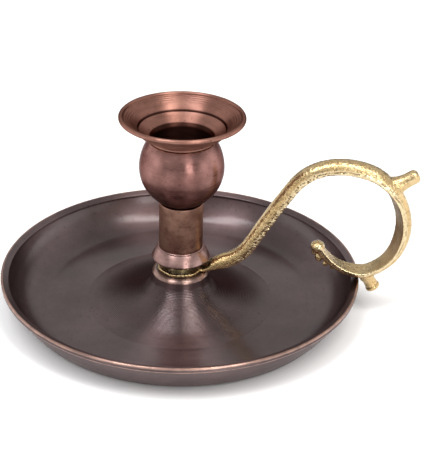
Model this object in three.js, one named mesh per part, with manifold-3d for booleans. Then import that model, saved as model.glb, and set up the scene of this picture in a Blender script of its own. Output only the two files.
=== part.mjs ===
// Low copper candlestick: dish with a raised cone, stem, bulb, lift-out nozzle and cast brass handle.
// Millimetres, Z up, table at z = 0. The dish's axis is vertical and the handle points along +X.
import * as THREE from 'three';
import { mergeVertices } from 'three/addons/utils/BufferGeometryUtils.js';
import Module from 'manifold-3d';

const wasm = await Module();
wasm.setup();

// Fits
const SEAT_GAP = 0.05;            // between two faces that the bolt clamps together
const NOZZLE_GAP = 0.2;           // under the nozzle's shoulder, where it rests on the bulb
const SPIGOT_CLEARANCE = 0.3;     // radial, nozzle spigot in the bulb's mouth
const BOLT_CLEARANCE = 0.25;      // radial, bolt in the holes it passes through
const THREAD_CLEARANCE = 0.1;     // radial, bolt in the nut
const CURL_CLEARANCE = 0.3;       // handle's curl above the dish's lip
const EDGE_BREAK = 0.35;          // small bevel on turned edges

// Dish
const RIM_RADIUS = 70;
const RIM_TOP = 14.8;
const PAN_SHEET = 1.1;
const WALL_FLARE = 10;            // rim beyond the outer edge of the flat underside
const BASE_ROUND = 1.7;           // start of the bend between underside and wall, from their corner
const WALL_BULGE = 0.7;           // how far the wall's middle lies outside a straight line
const LIP_WIDTH = 3.1;
const LIP_HEIGHT = 2.2;
const LIP_FALL = 0.9;             // how far the lip's top falls towards the inside
const LIP_OVERHANG = 0.45;        // lip's inner edge beyond the wall
const LIP_ROUND = 0.6;            // rounding of the lip's outer edges
const LIP_TUCK_ANGLE = 100;       // degrees, where the lip's inner edge runs into its top
const CONE_FOOT_RADIUS = 36.9;
const CONE_STEP = 0.3;            // small step where the cone's foot meets the floor
const PLATFORM_RADIUS = 11.2;
const PLATFORM_TOP = 14.9;
const PLATFORM_ROUND = 1.2;
const PLATFORM_END_ANGLE = 8;     // degrees, where the platform's edge runs into the cone

// Bolt stack
const BOLT_RADIUS = 2.5;
const BOLT_HEAD_RADIUS = 4.6;
const BOLT_HEAD_HEIGHT = 2.7;
const HEAD_ROUND = 0.9;
const BOLT_TAIL = 2.2;            // thread standing out below the nut
const WASHER_RADIUS = 5.4;
const WASHER_HEIGHT = 1.1;
const NUT_ACROSS_FLATS = 8;
const NUT_HEIGHT = 4;

// Stem
const EYE_RADIUS = 9.05;
const EYE_THICKNESS = 1.35;
const SPACER_RADIUS = 4.4;
const COLLAR_LIFT = 4;            // open height between eye and collar
const COLLAR_HEIGHT = 5.1;
const COLLAR_STEP = 0.45;         // collar's top edge beyond the stem
const COLLAR_FLARE = 2.35;        // collar's bottom edge beyond its top edge
const COLLAR_SHEET = 1.2;
const STEM_RADIUS = 8.5;
const STEM_HEIGHT = 17.6;
const STEM_WALL = 1.1;

// Bulb
const BULB_SWELL = 3.5;           // widest part beyond the mouth's outer edge
const BULB_SHEET = 0.9;
const BULB_SEAT_MARGIN = 0.8;     // flat under the bulb beyond its washer
const BULB_LOWER = 15.6;          // equator above the bulb's flat
const BULB_UPPER = 11.2;          // mouth above the equator
const BULB_LOWER_AXIS = 15.87;    // vertical half axis of the lower half
const BULB_LOWEST_ANGLE = -64;    // degrees, where the round gives way to the flat

// Nozzle
const CANDLE_RADIUS = 11;         // bore, takes a 22 mm candle
const SPIGOT_WALL = 0.6;
const SPIGOT_DEPTH = 7.6;
const NOZZLE_SHEET = 0.8;
const SHOULDER_WIDTH = 0.85;
const SHOULDER_HEIGHT = 0.75;
const TRUMPET_HEIGHT = 4.1;
const CREASE_REACH = 5.5;         // crease beyond the bore
const CREASE_STEP = 0.4;
const FLARE_REACH = 7.25;         // outside of the bead beyond the crease
const FLARE_SAG = 0.27;           // how far the funnel hangs below a straight line
const FLARE_HEIGHT = 4.4;         // bead's centre above the crease
const BEAD_RADIUS = 0.9;
const BEAD_START_ANGLE = 178;     // degrees, from the funnel over the top of the bead
const BEAD_END_ANGLE = -112;

// Handle
const STRAP_WIDTH = 8.8;
const STRAP_THICKNESS = 4.8;
const ARM_THICKNESS = 4;          // lower part of the rising arm
const CURL_THICKNESS = 2.9;       // where the strap curls in over the dish's lip
const ROOT_WIDTH = 6.9;
const TIP_WIDTH = 4.4;
const TIP_THICKNESS = 3;
const STRAP_BEVEL = 0.35;
const LOOP_RADIUS = 22.1;
const LOOP_INSET = 5.7;           // loop's centre inside the dish's rim
const EYE_OVERLAP = 3;            // how far the strap runs into the eye
const ARM_FOOT = 19;              // where the arm turns upwards, from the dish's axis
const ARM_LEAN_ANGLE = 60;        // degrees above the table
const SPUR_LENGTH = 10.9;
const SPUR_RADIUS = 2.75;
const SPUR_ANGLE = 33;            // degrees above the table
const SPUR_STATION_ANGLE = 44;    // around the loop, from +X
const SPUR_ROUND = 1.1;           // rounding of the spur's flat end
const DROP_LENGTH = 6.4;          // lower spur, from the curl's centreline to its knob
const DROP_RADIUS = 2.3;
const DROP_KNOB_RADIUS = 2.9;
const DROP_ANGLE = -60;
const DROP_STATION_ANGLE = -70.5;
const DROP_NECK_ANGLE = -50;      // where the lower spur's knob begins
const BUD_RADIUS = 2.2;

// Facets
const DISH_SIDES = 64;
const ROUND_SIDES = 44;
const SMALL_SIDES = 28;
const PEG_SIDES = 16;
const STRAP_STATIONS = 64;

// Derived heights from the table up, and derived radii
const holeRadius = BOLT_RADIUS + BOLT_CLEARANCE;
const eyeBottom = PLATFORM_TOP + SEAT_GAP;
const eyeTop = eyeBottom + EYE_THICKNESS;
const collarBottom = eyeTop + COLLAR_LIFT;
const collarTop = collarBottom + COLLAR_HEIGHT;
const stemBottom = collarTop + SEAT_GAP;
const stemTop = stemBottom + STEM_HEIGHT;
const bulbBottom = stemTop + SEAT_GAP;
const equator = bulbBottom + BULB_LOWER;
const mouthTop = equator + BULB_UPPER;
const shoulder = mouthTop + NOZZLE_GAP;
const trumpetTop = shoulder + TRUMPET_HEIGHT;
const creaseTop = trumpetTop + CREASE_STEP;
const beadCentre = creaseTop + FLARE_HEIGHT;
const spigotRadius = CANDLE_RADIUS + SPIGOT_WALL;
const mouthRadius = spigotRadius + SPIGOT_CLEARANCE;
const mouthEdge = mouthRadius + BULB_SHEET * 0.85;
const bulbRadius = mouthEdge + BULB_SWELL;
const bulbSeat = WASHER_RADIUS + BULB_SEAT_MARGIN;
const creaseRadius = CANDLE_RADIUS + CREASE_REACH;
const flareRadius = creaseRadius + FLARE_REACH;
const baseRadius = RIM_RADIUS - WALL_FLARE;

const p = (r, z) => new THREE.Vector2(r, z);
const rad = THREE.MathUtils.degToRad;

// Points of an elliptical arc in the profile plane, angles in degrees from +R.
function arc(r, z, halfR, halfZ, from, to, steps) {
  const points = [];
  for (let i = 0; i <= steps; i += 1) {
    const a = rad(from + ((to - from) * i) / steps);
    points.push(p(r + halfR * Math.cos(a), z + halfZ * Math.sin(a)));
  }
  return points;
}

function bezier(a, b, c, d, steps) {
  return new THREE.CubicBezierCurve(a, b, c, d).getPoints(steps);
}

// The same line moved sideways by a distance, to its right as it runs.
function offsetLine(points, distance) {
  return points.map((point, i) => {
    const before = points[Math.max(i - 1, 0)];
    const after = points[Math.min(i + 1, points.length - 1)];
    const along = after.clone().sub(before).normalize();
    return p(point.x + along.y * distance, point.y - along.x * distance);
  });
}

function signedArea(profile) {
  let sum = 0;
  profile.forEach((point, i) => {
    const next = profile[(i + 1) % profile.length];
    sum += point.x * next.y - next.x * point.y;
  });
  return sum / 2;
}

// Solid of revolution about Z. A profile that stays off the axis is closed on itself.
function turned(profile, sides) {
  const line = signedArea(profile) > 0 ? profile.slice() : profile.slice().reverse();
  const onAxis = line.some((point) => point.x === 0);
  if (!onAxis) line.push(line[0].clone());
  const geometry = new THREE.LatheGeometry(line, sides);
  geometry.rotateX(Math.PI / 2);
  return geometry;
}

function ring(inner, outer, bottom, top, sides) {
  return turned([p(inner, bottom), p(outer, bottom), p(outer, top), p(inner, top)], sides);
}

function welded(geometry) {
  const plain = geometry.clone();
  plain.deleteAttribute('normal');
  plain.deleteAttribute('uv');
  return mergeVertices(plain, 1e-4);
}

function toManifold(geometry) {
  const plain = welded(geometry);
  const index = plain.index.array;
  const kept = [];
  for (let i = 0; i < index.length; i += 3) {
    const [a, b, c] = [index[i], index[i + 1], index[i + 2]];
    if (a !== b && b !== c && c !== a) kept.push(a, b, c);
  }
  return new wasm.Manifold(new wasm.Mesh({
    numProp: 3,
    vertProperties: new Float32Array(plain.attributes.position.array),
    triVerts: new Uint32Array(kept),
  }));
}

function fromManifold(body) {
  const mesh = body.getMesh();
  const geometry = new THREE.BufferGeometry();
  geometry.setAttribute('position', new THREE.BufferAttribute(new Float32Array(mesh.vertProperties), 3));
  geometry.setIndex(new THREE.BufferAttribute(new Uint32Array(mesh.triVerts), 1));
  geometry.computeVertexNormals();
  return geometry;
}

function joined(geometries) {
  const [first, ...rest] = geometries.map(toManifold);
  return fromManifold(rest.reduce((body, next) => body.add(next), first));
}

const copperDark = { color: 0x5c4a48, roughness: 0.36, metalness: 1 };
const copperRed = { color: 0x8a5647, roughness: 0.34, metalness: 1 };
const copperBrown = { color: 0x6d4a3d, roughness: 0.45, metalness: 1 };
const brassCast = { color: 0xcfae6a, roughness: 0.38, metalness: 1 };
const steel = { color: 0x8d8f92, roughness: 0.4, metalness: 1 };

function piece(name, geometry, finish) {
  const material = new THREE.MeshStandardMaterial({ name: `${name}_finish`, ...finish });
  const mesh = new THREE.Mesh(geometry, material);
  mesh.name = name;
  return mesh;
}

// The dish's wall from the floor up: a bend, then a gently hollow flank that steepens towards the lip.
function dishWall(foot, top) {
  const chord = top.clone().sub(foot);
  const aside = p(chord.y, -chord.x).normalize().multiplyScalar(WALL_BULGE * 2);
  const flank = new THREE.QuadraticBezierCurve(foot, foot.clone().lerp(top, 0.5).add(aside), top);
  const start = BASE_ROUND / flank.getLength();
  const bend = new THREE.QuadraticBezierCurve(p(foot.x - BASE_ROUND, foot.y), foot, flank.getPointAt(start));
  const points = bend.getPoints(3);
  [0.4, 0.7, 1].forEach((share) => points.push(flank.getPointAt(share)));
  return points;
}

// Dish: one sheet from the hole in the platform, down the cone, over the floor and wall to the folded lip.
function dripPan() {
  const floor = PAN_SHEET;
  const coneFoot = floor + CONE_STEP;
  const coneTop = p(PLATFORM_RADIUS, PLATFORM_TOP - PLATFORM_ROUND);
  const roundMiddle = coneTop.x - PLATFORM_ROUND;
  const round = arc(roundMiddle, coneTop.y, PLATFORM_ROUND, PLATFORM_ROUND, 90, PLATFORM_END_ANGLE, 4);
  const drop = coneTop.y - coneFoot;
  const reach = CONE_FOOT_RADIUS - PLATFORM_RADIUS;
  const cone = bezier(
    coneTop,
    p(PLATFORM_RADIUS + reach * 0.04, coneTop.y - drop * 0.76),
    p(PLATFORM_RADIUS + reach * 0.23, coneFoot),
    p(CONE_FOOT_RADIUS, coneFoot),
    13,
  );
  const wallFoot = p(baseRadius - PAN_SHEET * 0.7, floor);
  const lipInner = RIM_RADIUS - LIP_WIDTH;
  const lipFace = RIM_TOP - LIP_FALL;
  const lipUnder = RIM_TOP - LIP_HEIGHT;
  const wallTop = p(lipInner + LIP_OVERHANG, lipUnder + LIP_ROUND / 2);
  const wall = dishWall(wallFoot, wallTop);
  const top = [
    p(holeRadius, PLATFORM_TOP),
    ...round,
    ...cone,
    p(CONE_FOOT_RADIUS + CONE_STEP, floor),
    ...wall,
  ];
  const edge = RIM_RADIUS - LIP_ROUND;
  const lip = [
    p(lipInner, wallTop.y + LIP_ROUND / 3),
    ...arc(lipInner + EDGE_BREAK, lipFace - EDGE_BREAK, EDGE_BREAK, EDGE_BREAK, 180, LIP_TUCK_ANGLE, 2),
    ...arc(edge, RIM_TOP - LIP_ROUND, LIP_ROUND, LIP_ROUND, 90, 0, 3),
    ...arc(edge, lipUnder + LIP_ROUND, LIP_ROUND, LIP_ROUND, 0, -90, 3),
  ];
  const outside = offsetLine(wall, PAN_SHEET).reverse();
  const under = [
    p(outside[0].x, lipUnder),
    ...outside.slice(1, -1),
    p(wall[0].x, 0),
    p(CONE_FOOT_RADIUS - PAN_SHEET, 0),
  ];
  const ceiling = PLATFORM_TOP - PAN_SHEET;
  const hollow = offsetLine(cone, PAN_SHEET).slice(0, -1).reverse();
  const flank = hollow.filter((point) => point.y < ceiling - EDGE_BREAK);
  const inside = [p(flank[flank.length - 1].x - EDGE_BREAK, ceiling), p(holeRadius, ceiling)];
  const profile = [...top, ...lip, ...under, ...flank, ...inside];
  return piece('drip_pan', turned(profile, DISH_SIDES), copperDark);
}

// Points of the loop, as angle from +X in degrees and distance as a share of LOOP_RADIUS.
// The loop runs clockwise from the arm over the top, down the outside and into the curl.
const LOOP_SHAPE = [
  [137, 1.165],
  [116, 1.115],
  [92, 1.045],
  [62, 1],
  [26, 0.955],
  [-8, 0.985],
  [-40, 1.05],
  [-69, 1.07],
  [-87, 0.985],
  [-104, 0.88],
  [-120.5, 0.785],
  [-134.5, 0.735],
];

function aboutCentre([angle, share]) {
  const a = rad(angle);
  return new THREE.Vector3(Math.cos(a), 0, Math.sin(a)).multiplyScalar(LOOP_RADIUS * share);
}

// The curl's lowest point lies CURL_CLEARANCE above the dish's lip, which sets the loop's height.
function loopCentre() {
  const loop = new THREE.CatmullRomCurve3(LOOP_SHAPE.map(aboutCentre), false, 'centripetal');
  const lowest = Math.min(...loop.getPoints(240).map((point) => point.z));
  const height = RIM_TOP + CURL_CLEARANCE + CURL_THICKNESS / 2 - lowest;
  return new THREE.Vector3(RIM_RADIUS - LOOP_INSET, 0, height);
}

const centre = loopCentre();

function onLoop(angle, share) {
  return aboutCentre([angle, share]).add(centre);
}

function handleLine() {
  const middle = (eyeBottom + eyeTop) / 2;
  const start = onLoop(...LOOP_SHAPE[0]);
  const foot = ARM_FOOT - EYE_RADIUS;
  const turn = new THREE.Vector3(ARM_FOOT + foot * 0.53, 0, middle + foot * 0.8);
  const lean = new THREE.Vector3(Math.cos(rad(ARM_LEAN_ANGLE)), 0, Math.sin(rad(ARM_LEAN_ANGLE)));
  const rise = (start.z - turn.z) / lean.z;
  const quarter = turn.clone().addScaledVector(lean, rise * 0.36).lerp(turn.clone().lerp(start, 0.36), 0.5);
  const most = turn.clone().addScaledVector(lean, rise * 0.72).lerp(turn.clone().lerp(start, 0.72), 0.5);
  return new THREE.CatmullRomCurve3([
    new THREE.Vector3(EYE_RADIUS - EYE_OVERLAP, 0, middle),
    new THREE.Vector3(EYE_RADIUS + foot * 0.04, 0, middle + foot * 0.025),
    new THREE.Vector3(EYE_RADIUS + foot * 0.45, 0, middle + foot * 0.14),
    new THREE.Vector3(ARM_FOOT, 0, middle + foot * 0.33),
    turn,
    quarter,
    most,
    ...LOOP_SHAPE.map(([angle, share]) => onLoop(angle, share)),
  ], false, 'centripetal');
}

// Width and thickness of the strap along its length, from 0 at the eye to 1 at the bud.
function strapSize(share) {
  const { lerp, smoothstep } = THREE.MathUtils;
  const grow = smoothstep(share, 0.03, 0.15);
  const swell = smoothstep(share, 0.24, 0.58);
  const thin = smoothstep(share, 0.7, 0.84);
  const fade = smoothstep(share, 0.86, 1);
  const width = lerp(lerp(ROOT_WIDTH, STRAP_WIDTH, swell), TIP_WIDTH, fade);
  const arm = lerp(EYE_THICKNESS, ARM_THICKNESS, grow);
  const grip = lerp(arm, STRAP_THICKNESS, swell);
  const thick = lerp(lerp(grip, CURL_THICKNESS, thin), TIP_THICKNESS, fade);
  return { width, thick };
}

// D-shaped section: flat inner face with small bevels, rounded outer face. X is across, Y is outwards.
function strapSection({ width, thick }) {
  const half = width / 2;
  const bevel = Math.min(STRAP_BEVEL, thick / 4);
  const edge = -thick / 2 + Math.max(bevel, thick * 0.3);
  const points = [p(-half + bevel, -thick / 2), p(half - bevel, -thick / 2), p(half, -thick / 2 + bevel)];
  arc(0, edge, half, thick / 2 - edge, 0, 180, 10).forEach((point) => points.push(point));
  points.push(p(-half, -thick / 2 + bevel));
  return points;
}

function strap() {
  const line = handleLine();
  const positions = [];
  const index = [];
  let count = 0;
  for (let i = 0; i <= STRAP_STATIONS; i += 1) {
    const share = i / STRAP_STATIONS;
    const middle = line.getPointAt(share);
    const along = line.getTangentAt(share);
    const section = strapSection(strapSize(share));
    count = section.length;
    section.forEach((point) => {
      positions.push(middle.x - along.z * point.y, point.x, middle.z + along.x * point.y);
    });
  }
  for (let i = 0; i < STRAP_STATIONS; i += 1) {
    for (let j = 0; j < count; j += 1) {
      const a = i * count + j;
      const b = i * count + ((j + 1) % count);
      index.push(a, b, a + count, b, b + count, a + count);
    }
  }
  const last = STRAP_STATIONS * count;
  for (let j = 1; j < count - 1; j += 1) {
    index.push(0, j + 1, j);
    index.push(last, last + j, last + j + 1);
  }
  const geometry = new THREE.BufferGeometry();
  geometry.setAttribute('position', new THREE.Float32BufferAttribute(positions, 3));
  geometry.setIndex(index);
  return geometry;
}

// A turned peg lying in the XZ plane, from a point outwards at an angle above the table.
function peg(profile, origin, angle, sides) {
  const geometry = turned(profile, sides);
  geometry.rotateY(Math.PI / 2 - rad(angle));
  geometry.translate(origin.x, origin.y, origin.z);
  return geometry;
}

function spurRoot() {
  return onLoop(SPUR_STATION_ANGLE, 0.975);
}

function thumbSpur() {
  const end = SPUR_LENGTH;
  const profile = [
    p(0, 0),
    p(SPUR_RADIUS * 1.2, 0),
    p(SPUR_RADIUS * 1.08, end * 0.4),
    p(SPUR_RADIUS * 0.97, end * 0.62),
    ...arc(SPUR_RADIUS - SPUR_ROUND, end - SPUR_ROUND, SPUR_ROUND, SPUR_ROUND, 0, 90, 4),
    p(0, end),
  ];
  return peg(profile, spurRoot(), SPUR_ANGLE, PEG_SIDES);
}

function lowerSpur() {
  const end = DROP_LENGTH;
  const profile = [
    p(0, 0),
    p(DROP_RADIUS * 1.1, 0),
    p(DROP_RADIUS, end * 0.45),
    ...arc(0, end, DROP_KNOB_RADIUS, DROP_KNOB_RADIUS * 0.85, DROP_NECK_ANGLE, 90, 9),
  ];
  profile[profile.length - 1].x = 0;
  return peg(profile, onLoop(DROP_STATION_ANGLE, 1.06), DROP_ANGLE, PEG_SIDES);
}

function bud() {
  const tip = LOOP_SHAPE[LOOP_SHAPE.length - 1];
  const near = LOOP_SHAPE[LOOP_SHAPE.length - 2];
  const knob = new THREE.SphereGeometry(BUD_RADIUS, PEG_SIDES, 10);
  knob.scale(0.92, 1.15, 1.05);
  const top = onLoop(tip[0] - 2, tip[1]);
  knob.translate(top.x, top.y, top.z);
  const lobe = new THREE.SphereGeometry(BUD_RADIUS * 0.85, PEG_SIDES, 9);
  lobe.scale(0.95, 1.05, 1.2);
  const low = onLoop(near[0], near[1] + CURL_THICKNESS / 2 / LOOP_RADIUS);
  lobe.translate(low.x - BUD_RADIUS * 0.35, low.y, low.z);
  return [knob, lobe];
}

function handle() {
  const eye = ring(holeRadius, EYE_RADIUS, eyeBottom, eyeTop, SMALL_SIDES);
  const body = joined([eye, strap(), thumbSpur(), lowerSpur(), ...bud()]);
  return piece('handle', body, brassCast);
}

function stemSpacer() {
  const under = collarTop - COLLAR_SHEET;
  const body = ring(holeRadius, SPACER_RADIUS, eyeTop + SEAT_GAP, under - SEAT_GAP, SMALL_SIDES);
  return piece('stem_spacer', body, steel);
}

function stemCollar() {
  const topRadius = STEM_RADIUS + COLLAR_STEP;
  const bottomRadius = topRadius + COLLAR_FLARE;
  const under = collarTop - COLLAR_SHEET;
  const profile = [
    p(holeRadius, collarTop),
    p(holeRadius, under),
    p(topRadius - COLLAR_SHEET, under),
    p(bottomRadius - COLLAR_SHEET, collarBottom),
    p(bottomRadius - EDGE_BREAK, collarBottom),
    p(bottomRadius, collarBottom + EDGE_BREAK),
    p(topRadius + EDGE_BREAK * 0.4, collarTop - EDGE_BREAK),
    p(topRadius - EDGE_BREAK * 0.6, collarTop),
  ];
  return piece('stem_collar', turned(profile, ROUND_SIDES), copperRed);
}

function stemTube() {
  const ceiling = stemTop - STEM_WALL;
  const profile = [
    p(STEM_RADIUS - STEM_WALL, stemBottom),
    p(STEM_RADIUS, stemBottom),
    p(STEM_RADIUS, stemTop - EDGE_BREAK),
    p(STEM_RADIUS - EDGE_BREAK, stemTop),
    p(holeRadius, stemTop),
    p(holeRadius, ceiling),
    p(STEM_RADIUS - STEM_WALL, ceiling),
  ];
  return piece('stem_tube', turned(profile, ROUND_SIDES), copperBrown);
}

// Bulb: flat seat, full lower half, upper half that closes in to the mouth.
function candleBulb() {
  const upperAxis = BULB_UPPER / Math.sqrt(1 - (mouthEdge / bulbRadius) ** 2);
  const mouthAngle = THREE.MathUtils.radToDeg(Math.asin(BULB_UPPER / upperAxis));
  const floor = bulbBottom + BULB_SHEET;
  const lower = arc(0, equator, bulbRadius, BULB_LOWER_AXIS, BULB_LOWEST_ANGLE, 0, 8);
  const upper = arc(0, equator, bulbRadius, upperAxis, 0, mouthAngle, 5).slice(1);
  const skin = [...lower, ...upper];
  const inside = offsetLine(skin, -BULB_SHEET).reverse().filter((point) => point.y > floor + EDGE_BREAK);
  inside[0] = p(mouthRadius, mouthTop);
  const seat = [p(holeRadius, bulbBottom), p(bulbSeat, bulbBottom)];
  const bottom = [p(bulbSeat - BULB_SHEET * 0.22, floor), p(holeRadius, floor)];
  const profile = [...seat, ...skin, ...inside, ...bottom];
  return piece('candle_bulb', turned(profile, ROUND_SIDES), copperRed);
}

// Nozzle: spigot, shoulder that rests on the bulb, trumpet, small step, funnel and rolled bead.
function nozzle() {
  const spigotBottom = shoulder - SPIGOT_DEPTH;
  const trumpet = bezier(
    p(CANDLE_RADIUS, shoulder + NOZZLE_SHEET * 0.25),
    p(CANDLE_RADIUS, shoulder + TRUMPET_HEIGHT * 0.5),
    p(CANDLE_RADIUS + CREASE_REACH * 0.5, trumpetTop - TRUMPET_HEIGHT * 0.36),
    p(creaseRadius - CREASE_STEP * 0.5, trumpetTop),
    6,
  );
  const beadRadius = flareRadius - BEAD_RADIUS;
  const funnelTop = p(beadRadius - BEAD_RADIUS * 0.98, beadCentre - BEAD_RADIUS * 0.17);
  const crease = p(creaseRadius, creaseTop);
  const sag = crease.clone().lerp(funnelTop, 0.5).add(p(-FLARE_SAG, FLARE_SAG * 0.4));
  const funnel = new THREE.QuadraticBezierCurve(crease, sag, funnelTop).getPoints(4);
  const bead = arc(beadRadius, beadCentre, BEAD_RADIUS, BEAD_RADIUS, BEAD_START_ANGLE, BEAD_END_ANGLE, 10);
  const inner = [p(CANDLE_RADIUS, spigotBottom), ...trumpet, ...funnel, ...bead.slice(1)];
  const funnelUnder = offsetLine(funnel, NOZZLE_SHEET).reverse().slice(1);
  const trumpetUnder = offsetLine(trumpet, NOZZLE_SHEET).reverse().slice(1, -2);
  const outer = [
    ...funnelUnder,
    ...trumpetUnder,
    p(spigotRadius + SHOULDER_WIDTH, shoulder + SHOULDER_HEIGHT),
    p(spigotRadius + SHOULDER_WIDTH, shoulder),
    p(spigotRadius, shoulder),
    p(spigotRadius, spigotBottom + SPIGOT_WALL * 0.65),
    p(spigotRadius - SPIGOT_WALL * 0.35, spigotBottom),
  ];
  return piece('nozzle', turned([...inner, ...outer], ROUND_SIDES), copperRed);
}

const washerBottom = bulbBottom + BULB_SHEET + SEAT_GAP;
const headBottom = washerBottom + WASHER_HEIGHT + SEAT_GAP;
const panWasherTop = PLATFORM_TOP - PAN_SHEET - SEAT_GAP;
const nutTop = panWasherTop - WASHER_HEIGHT - SEAT_GAP;
const nutBottom = nutTop - NUT_HEIGHT;

function tieBolt() {
  const end = nutBottom - BOLT_TAIL;
  const headTop = headBottom + BOLT_HEAD_HEIGHT;
  const profile = [
    p(0, end),
    p(BOLT_RADIUS - EDGE_BREAK, end),
    p(BOLT_RADIUS, end + EDGE_BREAK),
    p(BOLT_RADIUS, headBottom),
    p(BOLT_HEAD_RADIUS, headBottom),
    ...arc(BOLT_HEAD_RADIUS - HEAD_ROUND, headTop - HEAD_ROUND, HEAD_ROUND, HEAD_ROUND, 0, 90, 3),
    p(0, headTop),
  ];
  return piece('tie_bolt', turned(profile, SMALL_SIDES), steel);
}

function hexNut() {
  const corner = NUT_ACROSS_FLATS / 2 / Math.cos(Math.PI / 6);
  const outline = new THREE.Shape();
  for (let i = 0; i < 6; i += 1) {
    const a = (i * Math.PI) / 3;
    const point = p(corner * Math.cos(a), corner * Math.sin(a));
    if (i === 0) outline.moveTo(point.x, point.y);
    else outline.lineTo(point.x, point.y);
  }
  outline.closePath();
  const bore = new THREE.Path();
  bore.absarc(0, 0, BOLT_RADIUS + THREAD_CLEARANCE, 0, Math.PI * 2, true);
  outline.holes.push(bore);
  const upright = { depth: NUT_HEIGHT, bevelEnabled: false, curveSegments: SMALL_SIDES };
  const geometry = new THREE.ExtrudeGeometry(outline, upright);
  geometry.translate(0, 0, nutBottom);
  return piece('hex_nut', geometry, steel);
}

function bulbWasher() {
  const body = ring(holeRadius, WASHER_RADIUS, washerBottom, washerBottom + WASHER_HEIGHT, SMALL_SIDES);
  return piece('bulb_washer', body, steel);
}

function panWasher() {
  const body = ring(holeRadius, WASHER_RADIUS, panWasherTop - WASHER_HEIGHT, panWasherTop, SMALL_SIDES);
  return piece('pan_washer', body, steel);
}

const stand = new THREE.Group();
stand.name = 'candlestick';
stand.add(
  dripPan(),
  handle(),
  stemSpacer(),
  stemCollar(),
  stemTube(),
  candleBulb(),
  bulbWasher(),
  tieBolt(),
  panWasher(),
  hexNut(),
  nozzle(),
);

// The origin is under the middle of the whole length, from the dish's edge to the thumb spur's tip.
const spurEnd = (SPUR_LENGTH - SPUR_ROUND) * Math.cos(rad(SPUR_ANGLE));
const spurSide = (SPUR_RADIUS - SPUR_ROUND) * Math.sin(rad(SPUR_ANGLE));
const spurReach = spurRoot().x + spurEnd + spurSide + SPUR_ROUND;
stand.position.x = (RIM_RADIUS - spurReach) / 2;

export default stand;
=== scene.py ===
"""Copper chamber candlestick: spun dish, stem, bulb and lift-out nozzle, with a cast brass handle.

The scene is in metres, Z up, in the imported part's own frame: the dish's axis is upright and the
handle lies along +X. Sizes in the classes are millimetres, as on a drawing, where nothing else is
said, and MM turns them into metres. Angles in the classes' fields are degrees.
"""
import logging
import math
from dataclasses import dataclass
from enum import Enum
from itertools import accumulate
from typing import Any, Callable, Sequence

import bmesh
import bpy
from mathutils import Matrix, Vector, noise
from mathutils.kdtree import KDTree


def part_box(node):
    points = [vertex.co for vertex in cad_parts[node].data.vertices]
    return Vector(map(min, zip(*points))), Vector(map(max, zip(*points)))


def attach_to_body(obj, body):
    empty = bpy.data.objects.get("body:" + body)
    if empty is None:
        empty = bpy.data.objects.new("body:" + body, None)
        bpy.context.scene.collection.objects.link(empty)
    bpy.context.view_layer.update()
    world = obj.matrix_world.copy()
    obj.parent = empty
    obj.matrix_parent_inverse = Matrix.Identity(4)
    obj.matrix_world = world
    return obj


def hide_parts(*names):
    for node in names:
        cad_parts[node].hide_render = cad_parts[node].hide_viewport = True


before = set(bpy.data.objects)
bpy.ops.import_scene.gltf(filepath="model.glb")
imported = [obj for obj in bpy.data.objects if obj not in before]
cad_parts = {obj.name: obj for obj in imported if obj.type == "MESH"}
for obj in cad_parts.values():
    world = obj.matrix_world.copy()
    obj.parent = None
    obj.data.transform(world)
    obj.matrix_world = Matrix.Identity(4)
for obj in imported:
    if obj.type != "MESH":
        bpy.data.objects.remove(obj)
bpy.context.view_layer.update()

MM = 0.001
SEED = 7
TINY = 1e-9
SAME_PLACE = 1e-4
WELD = 1e-6
ORIGIN = (0.0, 0.0, 0.0)
WHITE = (1.0, 1.0, 1.0, 1.0)
SOCKETS = {int: "NodeSocketInt", float: "NodeSocketFloat", tuple: "NodeSocketVector"}

log = logging.getLogger("candlestick")

Point = tuple[float, float]
Colour = tuple[float, float, float, float]
Share = Callable[[float, float], float]
Tree = bpy.types.NodeTree
Build = bmesh.types.BMesh
Key = int | str
Inputs = dict[Key, Any] | None
Material = bpy.types.Material
Mesh = bpy.types.Mesh
Piece = bpy.types.Object


class Body(Enum):
    """The part's two rigid bodies."""

    STAND = "stand"
    NOZZLE = "nozzle"


class Slot(Enum):
    """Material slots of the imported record."""

    DISH = "copper_dark"
    RED = "copper_red"
    STEM = "copper_brown"
    BRASS = "brass_cast"
    STEEL = "steel"


class Signal:
    """One output of a node. Sums and products of signals add maths nodes."""

    def __init__(self, graph: "Graph", socket: bpy.types.NodeSocket) -> None:
        """Keep the output and the graph that it belongs to."""
        self.graph = graph
        self.socket = socket

    def __add__(self, other: Any) -> "Signal":
        """Add a number or a signal."""
        return self.graph.math("ADD", self, other)

    def __sub__(self, other: Any) -> "Signal":
        """Take away a number or a signal."""
        return self.graph.math("SUBTRACT", self, other)

    def __rsub__(self, other: float) -> "Signal":
        """Take this signal away from a number."""
        return self.graph.math("SUBTRACT", other, self)

    def __mul__(self, other: Any) -> "Signal":
        """Multiply by a number or a signal."""
        return self.graph.math("MULTIPLY", self, other)

    def __truediv__(self, other: Any) -> "Signal":
        """Divide by a number or a signal."""
        return self.graph.math("DIVIDE", self, other)


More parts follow.
